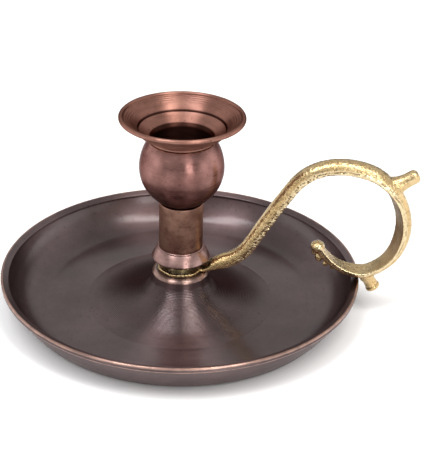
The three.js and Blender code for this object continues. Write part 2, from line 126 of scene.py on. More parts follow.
class Graph:
    """Adds nodes to one node tree and links them."""

    def __init__(self, tree: Tree) -> None:
        """Keep the tree that nodes are added to."""
        self.tree = tree

    def feed(self, socket: bpy.types.NodeSocket, value: Any) -> None:
        """Fill an input.

        Args:
            socket: The input.
            value: A signal to link, or a plain value to set.
        """
        if isinstance(value, Signal):
            self.tree.links.new(value.socket, socket)
        else:
            socket.default_value = value

    def add(self, kind: str, inputs: Inputs = None, **settings: Any) -> bpy.types.Node:
        """Add one node.

        Args:
            kind: The node's type name.
            inputs: Values or signals for its inputs, by name or place.
            **settings: Properties of the node, set before its inputs.

        Returns:
            The new node.
        """
        node = self.tree.nodes.new(kind)
        for name, value in settings.items():
            setattr(node, name, value)
        for key, value in (inputs or {}).items():
            self.feed(node.inputs[key], value)
        return node

    def out(self, kind: str, inputs: Inputs = None, output: Key = 0, **settings: Any) -> Signal:
        """Add one node and return one of its outputs."""
        return Signal(self, self.add(kind, inputs, **settings).outputs[output])

    def signals(self, node: bpy.types.Node) -> dict[str, Signal]:
        """Return a node's outputs by name."""
        return {socket.name: Signal(self, socket) for socket in node.outputs}

    def group(self, tree: Tree, inputs: dict[str, Any]) -> dict[str, Signal]:
        """Place a shader group and return its outputs by name."""
        return self.signals(self.add("ShaderNodeGroup", inputs, node_tree=tree))

    def math(self, operation: str, *values: Any) -> Signal:
        """Add a maths node and return its result."""
        return self.out("ShaderNodeMath", dict(enumerate(values)), operation=operation)

    def vector(self, operation: str, *values: Any) -> Signal:
        """Add a vector maths node and return its vector."""
        return self.out("ShaderNodeVectorMath", dict(enumerate(values)), operation=operation)

    def scaled(self, vector: Any, factor: Any) -> Signal:
        """Multiply a vector by one number."""
        return self.out("ShaderNodeVectorMath", {0: vector, "Scale": factor}, operation="SCALE")

    def combine(self, x: Any, y: Any, z: Any) -> Signal:
        """Make a vector from three numbers."""
        return self.out("ShaderNodeCombineXYZ", {0: x, 1: y, 2: z})

    def separate(self, vector: Any) -> tuple[Signal, ...]:
        """Return a vector's three numbers."""
        return tuple(self.signals(self.add("ShaderNodeSeparateXYZ", {0: vector})).values())

    def ramp(
        self, value: Any, low: float, high: float, start: float = 0.0, end: float = 1.0
    ) -> Signal:
        """Map a value smoothly from one range to another.

        Args:
            value: The number to map.
            low: Where the ramp starts.
            high: Where the ramp ends.
            start: Result at low.
            end: Result at high.

        Returns:
            The mapped number.
        """
        limits = {"From Min": low, "From Max": high, "To Min": start, "To Max": end}
        inputs = {"Value": value, **limits}
        return self.out("ShaderNodeMapRange", inputs, interpolation_type="SMOOTHSTEP")

    def noise(self, vector: Any, scale: Any, detail: float = 2.0, rough: float = 0.5) -> Signal:
        """Return fractal noise between 0 and 1."""
        look = {"W": float(SEED), "Scale": scale, "Detail": detail, "Roughness": rough}
        return self.out("ShaderNodeTexNoise", {"Vector": vector, **look}, noise_dimensions="4D")

    def blend(self, factor: Any, first: Any, second: Any) -> Signal:
        """Mix two colours."""
        return self.out("ShaderNodeMix", {0: factor, 6: first, 7: second}, 2, data_type="RGBA")

    def grey(self, level: Signal) -> Signal:
        """Make a grey of a number."""
        return self.out("ShaderNodeCombineColor", {0: level, 1: level, 2: level})

    def attribute(self, label: str) -> Signal:
        """Return a number stored on a piece's surface."""
        return self.out("ShaderNodeAttribute", None, "Fac", attribute_name=label)

    def spot(self) -> Signal:
        """Return the place on a piece."""
        return self.out("ShaderNodeTexCoord", None, "Object")

    def named(self, label: str, kind: str = "FLOAT") -> Signal:
        """Return a geometry's named attribute."""
        return self.out("GeometryNodeInputNamedAttribute", {"Name": label}, data_type=kind)

    def sample(self, lines: Signal, value: Signal, index: Signal, kind: str = "FLOAT") -> Signal:
        """Read a value at one point of a geometry."""
        inputs = {"Geometry": lines, "Value": value, "Index": index}
        return self.out("GeometryNodeSampleIndex", inputs, data_type=kind, domain="POINT")

    def stored(
        self, mesh: Signal, label: str, value: Signal, kind: str = "FLOAT", domain: str = "POINT"
    ) -> Signal:
        """Store a named attribute on a geometry."""
        inputs = {"Geometry": mesh, "Name": label, "Value": value}
        return self.out("GeometryNodeStoreNamedAttribute", inputs, data_type=kind, domain=domain)


def new_tree(name: str, kind: str, inputs: dict[str, Any], outputs: dict[str, str]) -> Graph:
    """Start a node group with named sockets.

    Args:
        name: The group's name.
        kind: GeometryNodeTree or ShaderNodeTree.
        inputs: Starting value of each input, or its socket type where it starts empty.
        outputs: Socket type of each output.

    Returns:
        A graph on the new, empty group.
    """
    tree = bpy.data.node_groups.new(name, kind)
    for label, value in inputs.items():
        empty = isinstance(value, str)
        socket_type = value if empty else SOCKETS[type(value)]
        socket = tree.interface.new_socket(name=label, in_out="INPUT", socket_type=socket_type)
        if not empty:
            socket.default_value = value
    for label, socket_type in outputs.items():
        tree.interface.new_socket(name=label, in_out="OUTPUT", socket_type=socket_type)
    return Graph(tree)


def plain_mesh(carrier: Piece, name: str) -> Mesh:
    """Turn an object's evaluated modifiers into a plain mesh, and remove the object.

    Args:
        carrier: The object with modifiers.
        name: Name of the mesh.

    Returns:
        The finished mesh.
    """
    depsgraph = bpy.context.evaluated_depsgraph_get()
    evaluated = carrier.evaluated_get(depsgraph)
    mesh = bpy.data.meshes.new_from_object(
        evaluated, preserve_all_data_layers=True, depsgraph=depsgraph
    )
    mesh.name = name
    source = carrier.data
    bpy.data.objects.remove(carrier)
    bpy.data.meshes.remove(source)
    return mesh


def linked(name: str, data: Any) -> Piece:
    """Make an object at the origin and link it to the scene.

    Args:
        name: Name of the object.
        data: Its mesh, lamp or camera.

    Returns:
        The object.
    """
    made = bpy.data.objects.new(name, data)
    bpy.context.scene.collection.objects.link(made)
    return made


def store(
    mesh: Mesh, label: str, values: Sequence[float], kind: str = "FLOAT"
) -> None:
    """Store one number, or one vector, for each vertex of a mesh."""
    field = "value" if kind == "FLOAT" else "vector"
    mesh.attributes.new(label, kind, "POINT").data.foreach_set(field, values)


def from_bmesh(mesh: Build, name: str) -> Mesh:
    """Turn a mesh under construction into a finished one, its faces pointing outwards.

    Args:
        mesh: The mesh under construction, which is freed.
        name: Name of the finished mesh.

    Returns:
        The finished mesh.
    """
    bmesh.ops.recalc_face_normals(mesh, faces=mesh.faces)
    data = bpy.data.meshes.new(name)
    mesh.to_mesh(data)
    mesh.free()
    return data


def add_rings(
    mesh: Build, rings: Sequence[Sequence[Sequence[float]]], closed: bool
) -> None:
    """Add rings of points to a mesh, with faces between neighbouring rings.

    Args:
        mesh: Mesh that gets them.
        rings: The rings, in metres, all with the same number of points.
        closed: True where the last ring meets the first.
    """
    rows = [[mesh.verts.new(point) for point in ring] for ring in rings]
    for low, high in zip(rows, rows[1:] + rows[: int(closed)]):
        for i in range(len(low)):
            k = (i + 1) % len(low)
            mesh.faces.new((low[i], low[k], high[k], high[i]))


def smoothstep(value: float, low: float, high: float) -> float:
    """Rise smoothly from 0 at low to 1 at high."""
    share = min(max((value - low) / (high - low), 0.0), 1.0)
    return share * share * (3 - 2 * share)


def mixed(first: float, second: float, share: float) -> float:
    """Return the number between two numbers."""
    return first + (second - first) * share


def heading(angle: float) -> Vector:
    """Return the direction in the XZ plane at an angle above +X."""
    a = math.radians(angle)
    return Vector((math.cos(a), 0.0, math.sin(a)))


def around(count: int) -> list[float]:
    """Return even angles around a circle, in radians."""
    return [math.tau * i / count for i in range(count)]


def block(inner: float, outer: float, low: float, high: float) -> list[Point]:
    """Return the corners of a plain ring's outline."""
    return [(inner, low), (outer, low), (outer, high), (inner, high)]


def arc(
    r: float, z: float, half_r: float, half_z: float, start: float, end: float, steps: int
) -> list[Point]:
    """Points of an elliptical arc.

    Args:
        r: Radius of the arc's centre.
        z: Height of the arc's centre.
        half_r: Half axis along the radius.
        half_z: Half axis along the height.
        start: First angle, from outwards.
        end: Last angle.
        steps: Number of steps.

    Returns:
        The points in order.
    """
    angles = [math.radians(start + (end - start) * i / steps) for i in range(steps + 1)]
    return [(r + half_r * math.cos(a), z + half_z * math.sin(a)) for a in angles]


def bezier(controls: Sequence[Sequence[float]], steps: int) -> list[Point]:
    """Points of a Bezier curve of any degree.

    Args:
        controls: Control points.
        steps: Number of steps.

    Returns:
        The points in order.
    """
    degree = len(controls) - 1
    points = []
    for t in (i / steps for i in range(steps + 1)):
        shares = [math.comb(degree, k) * t**k * (1 - t) ** (degree - k) for k in range(degree + 1)]
        r, z = (sum(s * c[axis] for s, c in zip(shares, controls)) for axis in (0, 1))
        points.append((r, z))
    return points


def moved_aside(points: Sequence[Point], distance: float) -> list[Point]:
    """The same line moved sideways, to its right as it runs.

    Args:
        points: The line.
        distance: How far it moves.

    Returns:
        The moved line.
    """
    moved = []
    for i, (r, z) in enumerate(points):
        before, after = points[max(i - 1, 0)], points[min(i + 1, len(points) - 1)]
        along = Vector((after[0] - before[0], after[1] - before[1])).normalized()
        moved.append((r + along.y * distance, z - along.x * distance))
    return moved


def travelled(points: Sequence[Vector]) -> list[float]:
    """Return the distance along a line of each of its points."""
    return [0.0, *accumulate((b - a).length for a, b in zip(points, points[1:]))]


def evenly(points: Sequence[Vector], count: int) -> list[Vector]:
    """Points at even distances along a line.

    Args:
        points: The line's own points, close together.
        count: How many points to return.

    Returns:
        The new points, with both ends of the line.
    """
    travel = travelled(points)
    even, k = [], 0
    for i in range(count):
        goal = travel[-1] * i / (count - 1)
        while k < len(travel) - 2 and travel[k + 1] < goal:
            k += 1
        span = max(travel[k + 1] - travel[k], TINY)
        even.append(points[k].lerp(points[k + 1], (goal - travel[k]) / span))
    return even


@dataclass
class Outline:
    """The outline of a turned piece, in radius and height.

    Attributes:
        points: Corners and curve points in order.
        edge: Rounding of its sharp corners.
        closed: False where it starts and ends on the axis.
        step: Longest stretch without a point.
        ridged: Share of the ridges' depth at a radius and height.
        rubbed: Share of the wear on edges, and of the grime in hollows, at a radius and height.
        painted_shade: Share of painted shade at a radius and height, besides the grime in hollows.
    """

    points: list[Point]
    edge: float = 0.25
    closed: bool = True
    step: float = 1.5
    ridged: Share = lambda r, z: 0.0
    rubbed: Share = lambda r, z: 1.0
    painted_shade: Share = lambda r, z: 0.0

    CORNER_ANGLE = 24.0
    CORNER_STEPS = 4
    CORNER_REACH = 0.42
    SUPPORT = 0.22
    WEAR_REACH = 0.5
    WEAR_RADIUS = 0.55

    def _neighbours(self, points: Sequence[Vector], i: int) -> tuple[Vector, Vector]:
        """Return the points before and after one point."""
        return points[i - 1], points[(i + 1) % len(points)]

    def _clockwise(self) -> list[Vector]:
        """Put the points in clockwise order, without repeats.

        Returns:
            The points.
        """
        given = [Vector(point) for point in self.points]
        points = [
            p for i, p in enumerate(given) if i == 0 or (p - given[i - 1]).length > SAME_PLACE
        ]
        if self.closed and (points[0] - points[-1]).length < SAME_PLACE:
            points.pop()
        area = sum(a.x * b.y - b.x * a.y for a, b in zip(points, points[1:] + points[:1]))
        return points[::-1] if area > 0 else points

    def _rounded(self, points: Sequence[Vector]) -> list[Vector]:
        """Round each sharp corner.

        Args:
            points: The outline.

        Returns:
            The outline with an arc at each corner.
        """
        result = []
        for i, corner in enumerate(points):
            before, after = self._neighbours(points, i)
            on_end = not self.closed and i in (0, len(points) - 1)
            incoming, outgoing = corner - before, after - corner
            bent = incoming.length and outgoing.length
            turn = math.degrees(incoming.angle(outgoing)) if bent else 0.0
            if on_end or turn < self.CORNER_ANGLE:
                result.append(corner)
                continue
            shorter = self.CORNER_REACH * min(incoming.length, outgoing.length)
            reach = min(self.edge, shorter)
            start = corner - incoming.normalized() * reach
            end = corner + outgoing.normalized() * reach
            result += [Vector(p) for p in bezier([start, corner, end], self.CORNER_STEPS)]
        return result

    def _refined(self, points: Sequence[Vector]) -> list[Vector]:
        """Add points to long stretches, close to their ends and evenly between.

        Args:
            points: The rounded outline.

        Returns:
            The outline with more points.
        """
        result = []
        last = len(points) if self.closed else len(points) - 1
        for i in range(last):
            start, end = points[i], points[(i + 1) % len(points)]
            length = (end - start).length
            result.append(start)
            if length > 4 * self.SUPPORT:
                inner = length - 2 * self.SUPPORT
                pieces = max(1, math.ceil(inner / self.step))
                shares = [(self.SUPPORT + inner * k / pieces) / length for k in range(pieces + 1)]
                result += [start.lerp(end, share) for share in shares]
        if not self.closed:
            result.append(points[-1])
        return result

    def _wear(self, points: Sequence[Vector], travel: Sequence[float]) -> list[float]:
        """How much each point is rubbed bright, dirty where the outline is hollow, or darkened by
        painted shade.

        Args:
            points: The finished outline.
            travel: Distance along it of each point.

        Returns:
            A share for each point: above 0 on sharp edges, below 0 in hollows and painted shade.
        """
        sharp = []
        for i, point in enumerate(points):
            before, after = self._neighbours(points, i)
            incoming, outgoing = point - before, after - point
            turn = incoming.x * outgoing.y - incoming.y * outgoing.x
            room = incoming.length * outgoing.length * (incoming.length + outgoing.length) / 2
            share = min(max(-turn / max(room, TINY) * self.WEAR_RADIUS, -1.0), 1.0)
            sharp.append(share * self.rubbed(point.x, point.y))
        result = []
        for point, here in zip(points, travel):
            near = [
                s * max(0.0, 1 - abs(t - here) / self.WEAR_REACH) for s, t in zip(sharp, travel)
            ]
            # Painted shade is taken off here, on top of the grime in hollows.
            result.append(max(near) + min(near) - self.painted_shade(point.x, point.y))
        return result

    def mesh(self, name: str) -> Mesh:
        """Make the outline a line of vertices in the XZ plane, with what the tree reads along it.

        Args:
            name: Name of the mesh.

        Returns:
            A mesh of edges with the attributes travel, wear, ridge and outward.
        """
        points = self._refined(self._rounded(self._clockwise()))
        travel = travelled(points)
        outward = []
        for i in range(len(points)):
            before, after = self._neighbours(points, i)
            along = (after - before).normalized()
            outward += [-along.y, 0.0, along.x]
        mesh = bpy.data.meshes.new(name)
        edges = [(i, i + 1) for i in range(len(points) - 1)]
        mesh.from_pydata([(p.x * MM, 0.0, p.y * MM) for p in points], edges, [])
        store(mesh, "travel", [t * MM for t in travel])
        # The wear attribute holds rubbed edges above 0, and grime in hollows and painted shade
        # below 0.
        store(mesh, "wear", self._wear(points, travel))
        store(mesh, "ridge", [self.ridged(p.x, p.y) for p in points])
        store(mesh, "outward", outward, "FLOAT_VECTOR")
        return mesh


class PieceTree:
    """A geometry tree with named inputs, which ends in real geometry with its finish."""

    NAME = "piece"
    INPUTS: dict[str, Any] = {}
    FINISH = {"Finish": "NodeSocketMaterial"}

    def __init__(self) -> None:
        """Build the tree."""
        inputs, outputs = self.INPUTS | self.FINISH, {"Geometry": "NodeSocketGeometry"}
        g = new_tree(self.NAME, "GeometryNodeTree", inputs, outputs)
        given = g.signals(g.add("NodeGroupInput"))
        real = g.out("GeometryNodeRealizeInstances", {"Geometry": self._shape(g, given)})
        dressed = {"Geometry": real, "Material": given["Finish"]}
        g.add("NodeGroupOutput", {"Geometry": g.out("GeometryNodeSetMaterial", dressed)})
        self.tree = g.tree

    def _shape(self, g: Graph, given: dict[str, Signal]) -> Signal:
        """Lay out the nodes that make the shape, and return its geometry."""
        raise NotImplementedError

    def run(self, source: Mesh, values: dict[str, Any], name: str) -> Mesh:
        """Run the tree over a mesh.

        Args:
            source: The mesh that goes in.
            values: Values of the tree's named inputs.
            name: Name of the mesh that comes out.

        Returns:
            The result as a plain mesh.
        """
        carrier = linked(f"{name}_source", source)
        modifier = carrier.modifiers.new(self.NAME, "NODES")
        modifier.node_group = self.tree
        for item in self.tree.interface.items_tree:
            if item.item_type == "SOCKET" and item.in_out == "INPUT" and item.name in values:
                modifier[item.identifier] = values[item.name]
        return plain_mesh(carrier, name)


class TurnedTree(PieceTree):
    """Geometry nodes that spin an outline about an upright axis, with ridges and slight dents."""

    NAME = "turned_piece"
    INPUTS = {
        "Outline": "NodeSocketGeometry",
        "Sides": 128,
        "Closed": 1,
        "Axis": ORIGIN,
        "Ridge Pitch": 0.001,
        "Ridge Depth": 0.0,
        "Ridge Lead": 0.0,
        "Dent Depth": 0.0,
        "Dent Scale": 60.0,
    }
    UV_PER_METRE = 10.0

    def _shape(self, g: Graph, given: dict[str, Signal]) -> Signal:
        """Lay out the nodes: grid, place on the outline, ridges, dents.

        Args:
            g: The tree's graph.
            given: The tree's inputs.

        Returns:
            The turned geometry.
        """
        outline = given["Outline"]
        domain = "GeometryNodeAttributeDomainSize"
        count = g.out(domain, {0: outline}, "Point Count", component="MESH")
        rows = count + given["Closed"]
        size = {"Size X": 1.0, "Size Y": 1.0}
        size |= {"Vertices X": rows, "Vertices Y": given["Sides"] + 1.0}
        mesh = g.out("GeometryNodeMeshGrid", size, "Mesh")
        position = g.out("GeometryNodeInputPosition")
        place = g.separate(position)
        row = g.math("ROUND", (place[0] + 0.5) * (rows - 1.0))
        index = g.math("MODULO", row, count)
        turn = place[1] + 0.5
        angle = turn * math.tau
        point = g.separate(g.sample(outline, position, index, "FLOAT_VECTOR"))
        travel, wear, ridge = (
            g.sample(outline, g.named(label), index) for label in ("travel", "wear", "ridge")
        )
        outward = g.named("outward", "FLOAT_VECTOR")
        normal = g.separate(g.sample(outline, outward, index, "FLOAT_VECTOR"))
        phase = travel / given["Ridge Pitch"] + turn * given["Ridge Lead"]
        rise = g.math("SINE", phase * math.tau) * ridge * given["Ridge Depth"]
        radius = point[0] + normal[0] * rise
        height = point[2] + normal[2] * rise
        x, y = (radius * g.math(wave, angle) for wave in ("COSINE", "SINE"))
        mesh = g.stored(g.stored(mesh, "travel", travel), "wear", wear)
        unrolled = g.combine(turn, travel * self.UV_PER_METRE, 0.0)
        mesh = g.stored(mesh, "UVMap", unrolled, "FLOAT2", "CORNER")
        spot = g.vector("ADD", g.combine(x, y, height), given["Axis"])
        placed = g.out("GeometryNodeSetPosition", {"Geometry": mesh, "Position": spot})
        merged = g.out("GeometryNodeMergeByDistance", {"Geometry": placed, "Distance": WELD})
        dent = (g.noise(position, given["Dent Scale"], 1.0) - 0.5) * given["Dent Depth"]
        push = g.scaled(g.out("GeometryNodeInputNormal"), dent)
        dented = g.out("GeometryNodeSetPosition", {"Geometry": merged, "Offset": push})
        return g.out("GeometryNodeSetShadeSmooth", {"Geometry": dented})


class StrapTree(PieceTree):
    """Geometry nodes that carry a section along a path.

    The mesh that goes in holds the path's points first and the unit section's points after them.
    """

    NAME = "strap_on_path"
    INPUTS = {
        "Lines": "NodeSocketGeometry",
        "Stations": 200,
        "Section Points": 40,
    }

    def _shape(self, g: Graph, given: dict[str, Signal]) -> Signal:
        """Lay out the nodes: grid, place of its row on the path and of its column on the section.

        Args:
            g: The tree's graph.
            given: The tree's inputs.

        Returns:
            The strap's geometry.
        """
        lines, stations, around = given["Lines"], given["Stations"], given["Section Points"]
        size = {"Size X": 1.0, "Size Y": 1.0, "Vertices X": around + 1.0, "Vertices Y": stations}
        grid = g.out("GeometryNodeMeshGrid", size, "Mesh")
        position = g.out("GeometryNodeInputPosition")
        place = g.separate(position)
        column = g.math("ROUND", (place[0] + 0.5) * around)
        wrapped = stations + g.math("MODULO", column, around)
        station = g.math("ROUND", (place[1] + 0.5) * (stations - 1.0))
        middle = g.sample(lines, position, station, "FLOAT_VECTOR")
        section = g.separate(g.sample(lines, position, wrapped, "FLOAT_VECTOR"))
        outward, aside = (
            g.sample(lines, g.named(label, "FLOAT_VECTOR"), station, "FLOAT_VECTOR")
            for label in ("outward", "aside")
        )
        width, thick = (
            g.sample(lines, g.named(label), station) for label in ("half_width", "half_thick")
        )
        across = g.scaled(aside, section[0] * width)
        out = g.scaled(outward, section[2] * thick)
        spot = g.vector("ADD", middle, g.vector("ADD", across, out))
        placed = g.out("GeometryNodeSetPosition", {"Geometry": grid, "Position": spot})
        return g.out("GeometryNodeMergeByDistance", {"Geometry": placed, "Distance": WELD})


class CastSkinTree(PieceTree):
    """Geometry nodes that give a smooth form the uneven, pitted skin of a sand casting."""

    NAME = "cast_skin"
    INPUTS = {
        "Form": "NodeSocketGeometry",
        "Swell": 0.0001,
        "Swell Scale": 150.0,
        "Grain": 0.00003,
        "Grain Scale": 900.0,
        "Pit Depth": 0.0001,
        "Pit Scale": 700.0,
        "Seam Depth": 0.0001,
    }
    CRATER = (0.2, 0.58, 1.0, 0.0)
    PATCH_SCALE = 420.0
    PATCH = (0.38, 0.52)

    def _shape(self, g: Graph, given: dict[str, Signal]) -> Signal:
        """Lay out the nodes: pits, swells and grain pushed along the normal.

        Args:
            g: The tree's graph.
            given: The tree's inputs.

        Returns:
            The form with its skin.
        """
        position = g.out("GeometryNodeInputPosition")
        scattered = {"Vector": position, "Scale": given["Pit Scale"], "Randomness": 1.0}
        crater = g.ramp(g.out("ShaderNodeTexVoronoi", scattered, "Distance"), *self.CRATER)
        chosen = g.ramp(g.noise(position, self.PATCH_SCALE, 1.0), *self.PATCH)
        pit = crater * chosen * g.named("rough")
        mesh = g.stored(given["Form"], "pit", pit)
        swell = (g.noise(position, given["Swell Scale"], 1.0) - 0.5) * given["Swell"]
        grain = (g.noise(position, given["Grain Scale"], 2.0) - 0.5) * given["Grain"]
        sunk = pit * given["Pit Depth"] + g.named("seam") * given["Seam Depth"]
        offset = g.scaled(g.out("GeometryNodeInputNormal"), swell + grain - sunk)
        moved = g.out("GeometryNodeSetPosition", {"Geometry": mesh, "Offset": offset})
        return g.out("GeometryNodeSetShadeSmooth", {"Geometry": moved})


@dataclass
class Lathe:
    """Turns outlines into pieces about the candlestick's axis.

    Attributes:
        axis: The axis's place on the table, in metres.
        tree: The geometry tree that does the turning.
    """

    axis: Vector
    tree: TurnedTree

    def turn(
        self, name: str, outline: Outline, finish: Material, sides: int,
        ridges: Point = (1.0, 0.0), dents: Point = (0.0, 60.0), lead: float = 0.0,
    ) -> Piece:
        """Turn one piece.

        Args:
            name: Name of the piece.
            outline: Its outline.
            finish: Its material.
            sides: Number of sides around.
            ridges: Pitch and depth of its ridges.
            dents: Depth of its dents, and dents per metre.
            lead: Ridges that it gains in one turn, as a thread does.

        Returns:
            The finished piece.
        """
        values = {"Sides": sides, "Closed": int(outline.closed)}
        values |= {"Axis": tuple(self.axis), "Finish": finish, "Ridge Lead": lead}
        values |= {"Ridge Pitch": ridges[0] * MM, "Ridge Depth": ridges[1] * MM}
        values |= {"Dent Depth": dents[0] * MM, "Dent Scale": dents[1]}
        return linked(name, self.tree.run(outline.mesh(name), values, name))


def attach(piece: Piece, body: Body, slot: Slot, *nodes: str) -> None:
    """Let a piece ride on a body and stand for CAD nodes.

    Args:
        piece: The finished piece.
        body: The body it moves with.
        slot: The record's slot of its finish; not used.
        *nodes: CAD nodes that it replaces.
    """
    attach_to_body(piece, body.value)
    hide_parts(*nodes)
    piece.data.calc_loop_triangles()
    log.info("%s: %d triangles on %s", piece.name, len(piece.data.loop_triangles), body.value)


class ShaderGroups:
    """Effects that several finishes share."""

    BROAD_LINES = 0.16
    BROAD_SHIFT = 3.0
    CLOUD = (0.34, 0.68)
    SPECK = (0.6, 0.74)
    BROKEN = 0.7
    WORN = (0.05, 0.6)

    def __init__(self) -> None:
        """Build the groups."""
        self.grain = self._spun_grain()
        self.patina = self._patina()
        self.wear = self._edge_wear()

    def _started(
        self, name: str, inputs: dict[str, Any], *masks: str
    ) -> tuple[Graph, dict[str, Signal]]:
        """Start a group that reads a place on the surface.

        Args:
            name: Name of the group.
            inputs: Its further inputs, by name, with their defaults.
            masks: Names of its outputs.

        Returns:
            The group's graph and its inputs by name.
        """
        outputs = dict.fromkeys(masks, "NodeSocketFloat")
        g = new_tree(name, "ShaderNodeTree", {"Vector": ORIGIN, **inputs}, outputs)
        return g, g.signals(g.add("NodeGroupInput"))

    def _spun_grain(self) -> Tree:
        """Fine lines left by turning: long around the axis, short across.

        Returns:
            A group with a fine and a broad mask.
        """
        inputs = {"Centre": ORIGIN, "Travel": 0.0, "Lines": 4000.0, "Sweep": 1.5}
        g, given = self._started("spun_grain", inputs, "Fine", "Broad")
        offset = g.separate(g.vector("SUBTRACT", given["Vector"], given["Centre"]))
        around = g.vector("NORMALIZE", g.combine(offset[0], offset[1], 0.0))
        swept = g.scaled(around, given["Sweep"])
        fine = g.combine(0.0, 0.0, given["Travel"] * given["Lines"])
        coarse = given["Travel"] * (given["Lines"] * self.BROAD_LINES)
        broad = g.combine(self.BROAD_SHIFT, 0.0, coarse)
        masks = {
            "Fine": g.noise(g.vector("ADD", swept, fine), 1.0, 3.0, 0.65),
            "Broad": g.noise(g.vector("ADD", swept, broad), 1.0, 2.0, 0.5),
        }
        g.add("NodeGroupOutput", masks)
        return g.tree

    def _patina(self) -> Tree:
        """Cloudy tarnish with small specks.

        Returns:
            A group with a cloud mask and a speck mask.
        """
        inputs = {"Scale": 60.0, "Speck Scale": 900.0}
        g, given = self._started("patina", inputs, "Cloud", "Speck")
        cloud = g.ramp(g.noise(given["Vector"], given["Scale"], 5.0, 0.62), *self.CLOUD)
        speck = g.ramp(g.noise(given["Vector"], given["Speck Scale"], 2.0, 0.5), *self.SPECK)
        g.add("NodeGroupOutput", {"Cloud": cloud, "Speck": speck})
        return g.tree

    def _edge_wear(self) -> Tree:
        """Edges rubbed bright, with a broken border.

        Returns:
            A group with one mask.
        """
        inputs = {"Edge": 0.0, "Amount": 0.6, "Scale": 260.0}
        g, given = self._started("edge_wear", inputs, "Mask")
        broken = (g.noise(given["Vector"], given["Scale"], 4.0, 0.6) - 0.5) * self.BROKEN
        level = given["Edge"] + broken + (given["Amount"] - 1.0)
        g.add("NodeGroupOutput", {"Mask": g.ramp(level, *self.WORN)})
        return g.tree


class Finish:
    """A material under construction: its graph and its Principled shader."""

    def __init__(self, name: str) -> None:
        """Start the material.

        Args:
            name: Name of the material.
        """
        self.material = bpy.data.materials.new(name)
        self.material.use_nodes = True
        self.graph = Graph(self.material.node_tree)
        self.shader = self.material.node_tree.nodes["Principled BSDF"]

    def fill(self, values: dict[str, Any]) -> None:
        """Fill inputs of the shader, by name."""
        for label, value in values.items():
            self.graph.feed(self.shader.inputs[label], value)

    def bump(self, height: Signal, distance: float) -> None:
        """Raise the surface by a height, as far as a distance in metres."""
        inputs = {"Height": height, "Strength": 1.0, "Distance": distance}
        self.fill({"Normal": self.graph.out("ShaderNodeBump", inputs)})


@dataclass(frozen=True)
class SpunCopper:
    """Copper spun on a lathe and darkened, rubbed bright on its edges.

    Attributes:
        name: Name of the finish.
        deep: Colour where the tarnish is thick.
        mid: Colour of the open surface.
        worn: Colour of rubbed edges.
        grime_and_shade: Colour of specks and hollows, and of painted shade.
        roughness: Plain roughness.
        anisotropy: How far highlights stretch across the turning lines.
        wear: Share of the edges that is rubbed.
        cloud_scale: Clouds of tarnish per metre.
        grain: Share of the turning lines in the colour.
        bump: Height of the turning lines in metres.
        lacquer: Share of clear lacquer on top.
    """

    name: str
    deep: Colour
    mid: Colour
    worn: Colour
    grime_and_shade: Colour
    roughness: float
    anisotropy: float
    wear: float
    cloud_scale: float
    grain: float
    bump: float = 0.000006
    lacquer: float = 0.2

    STREAK = (0.7, 1.3)
    STREAK_ROUGH = 0.1
    HOLLOW = (0.0, -0.8)
    HOLLOW_SHARE = 0.93
    SPECK_SHARE = 0.4
    SPECK_ROUGH = 0.12
    POLISH = 0.08
    QUARTER_TURN = 0.25
    LACQUER_ROUGHNESS = 0.2
    GLANCING = (0.35, 0.3, 0.3, 1.0)

    def make(self, groups: ShaderGroups, axis: Vector) -> Material:
        """Build the material.

        Args:
            groups: The shared effects.
            axis: The axis the piece was turned about.

        Returns:
            The material.
        """
        finish = Finish(self.name)
        g = finish.graph
        spot, edge = g.spot(), g.attribute("wear")
        turned = {"Vector": spot, "Centre": tuple(axis), "Travel": g.attribute("travel")}
        lines = g.group(groups.grain, turned)
        tarnish = g.group(groups.patina, {"Vector": spot, "Scale": self.cloud_scale})
        edges = {"Vector": spot, "Edge": edge, "Amount": self.wear}
        rubbed = g.group(groups.wear, edges)["Mask"]
        streak = g.ramp(lines["Fine"] + lines["Broad"], *self.STREAK)
        share = tarnish["Cloud"] * (1.0 - self.grain) + streak * self.grain
        # Negative wear brings in the grime colour: grime in hollows, and painted shade where the
        # dish and nozzle outlines add it.
        hollow = g.ramp(edge, *self.HOLLOW) * self.HOLLOW_SHARE
        dirt = g.math("MAXIMUM", tarnish["Speck"] * self.SPECK_SHARE, hollow)
        specked = g.blend(dirt, g.blend(share, self.deep, self.mid), self.grime_and_shade)
        uneven = (streak - 0.5) * self.STREAK_ROUGH + self.roughness
        rough = uneven + tarnish["Speck"] * self.SPECK_ROUGH - rubbed * self.POLISH
        along = {"direction_type": "UV_MAP", "uv_map": "UVMap"}
        finish.fill({
            "Base Color": g.blend(rubbed, specked, self.worn),
            "Roughness": rough,
            "Metallic": 1.0,
            "Anisotropic": self.anisotropy,
            "Anisotropic Rotation": self.QUARTER_TURN,
            "Specular Tint": self.GLANCING,
            "Coat Weight": (1.0 - dirt) * self.lacquer,
            "Coat Roughness": self.LACQUER_ROUGHNESS,
            "Tangent": g.out("ShaderNodeTangent", **along),
        })
        finish.bump(lines["Fine"], self.bump)
        return finish.material


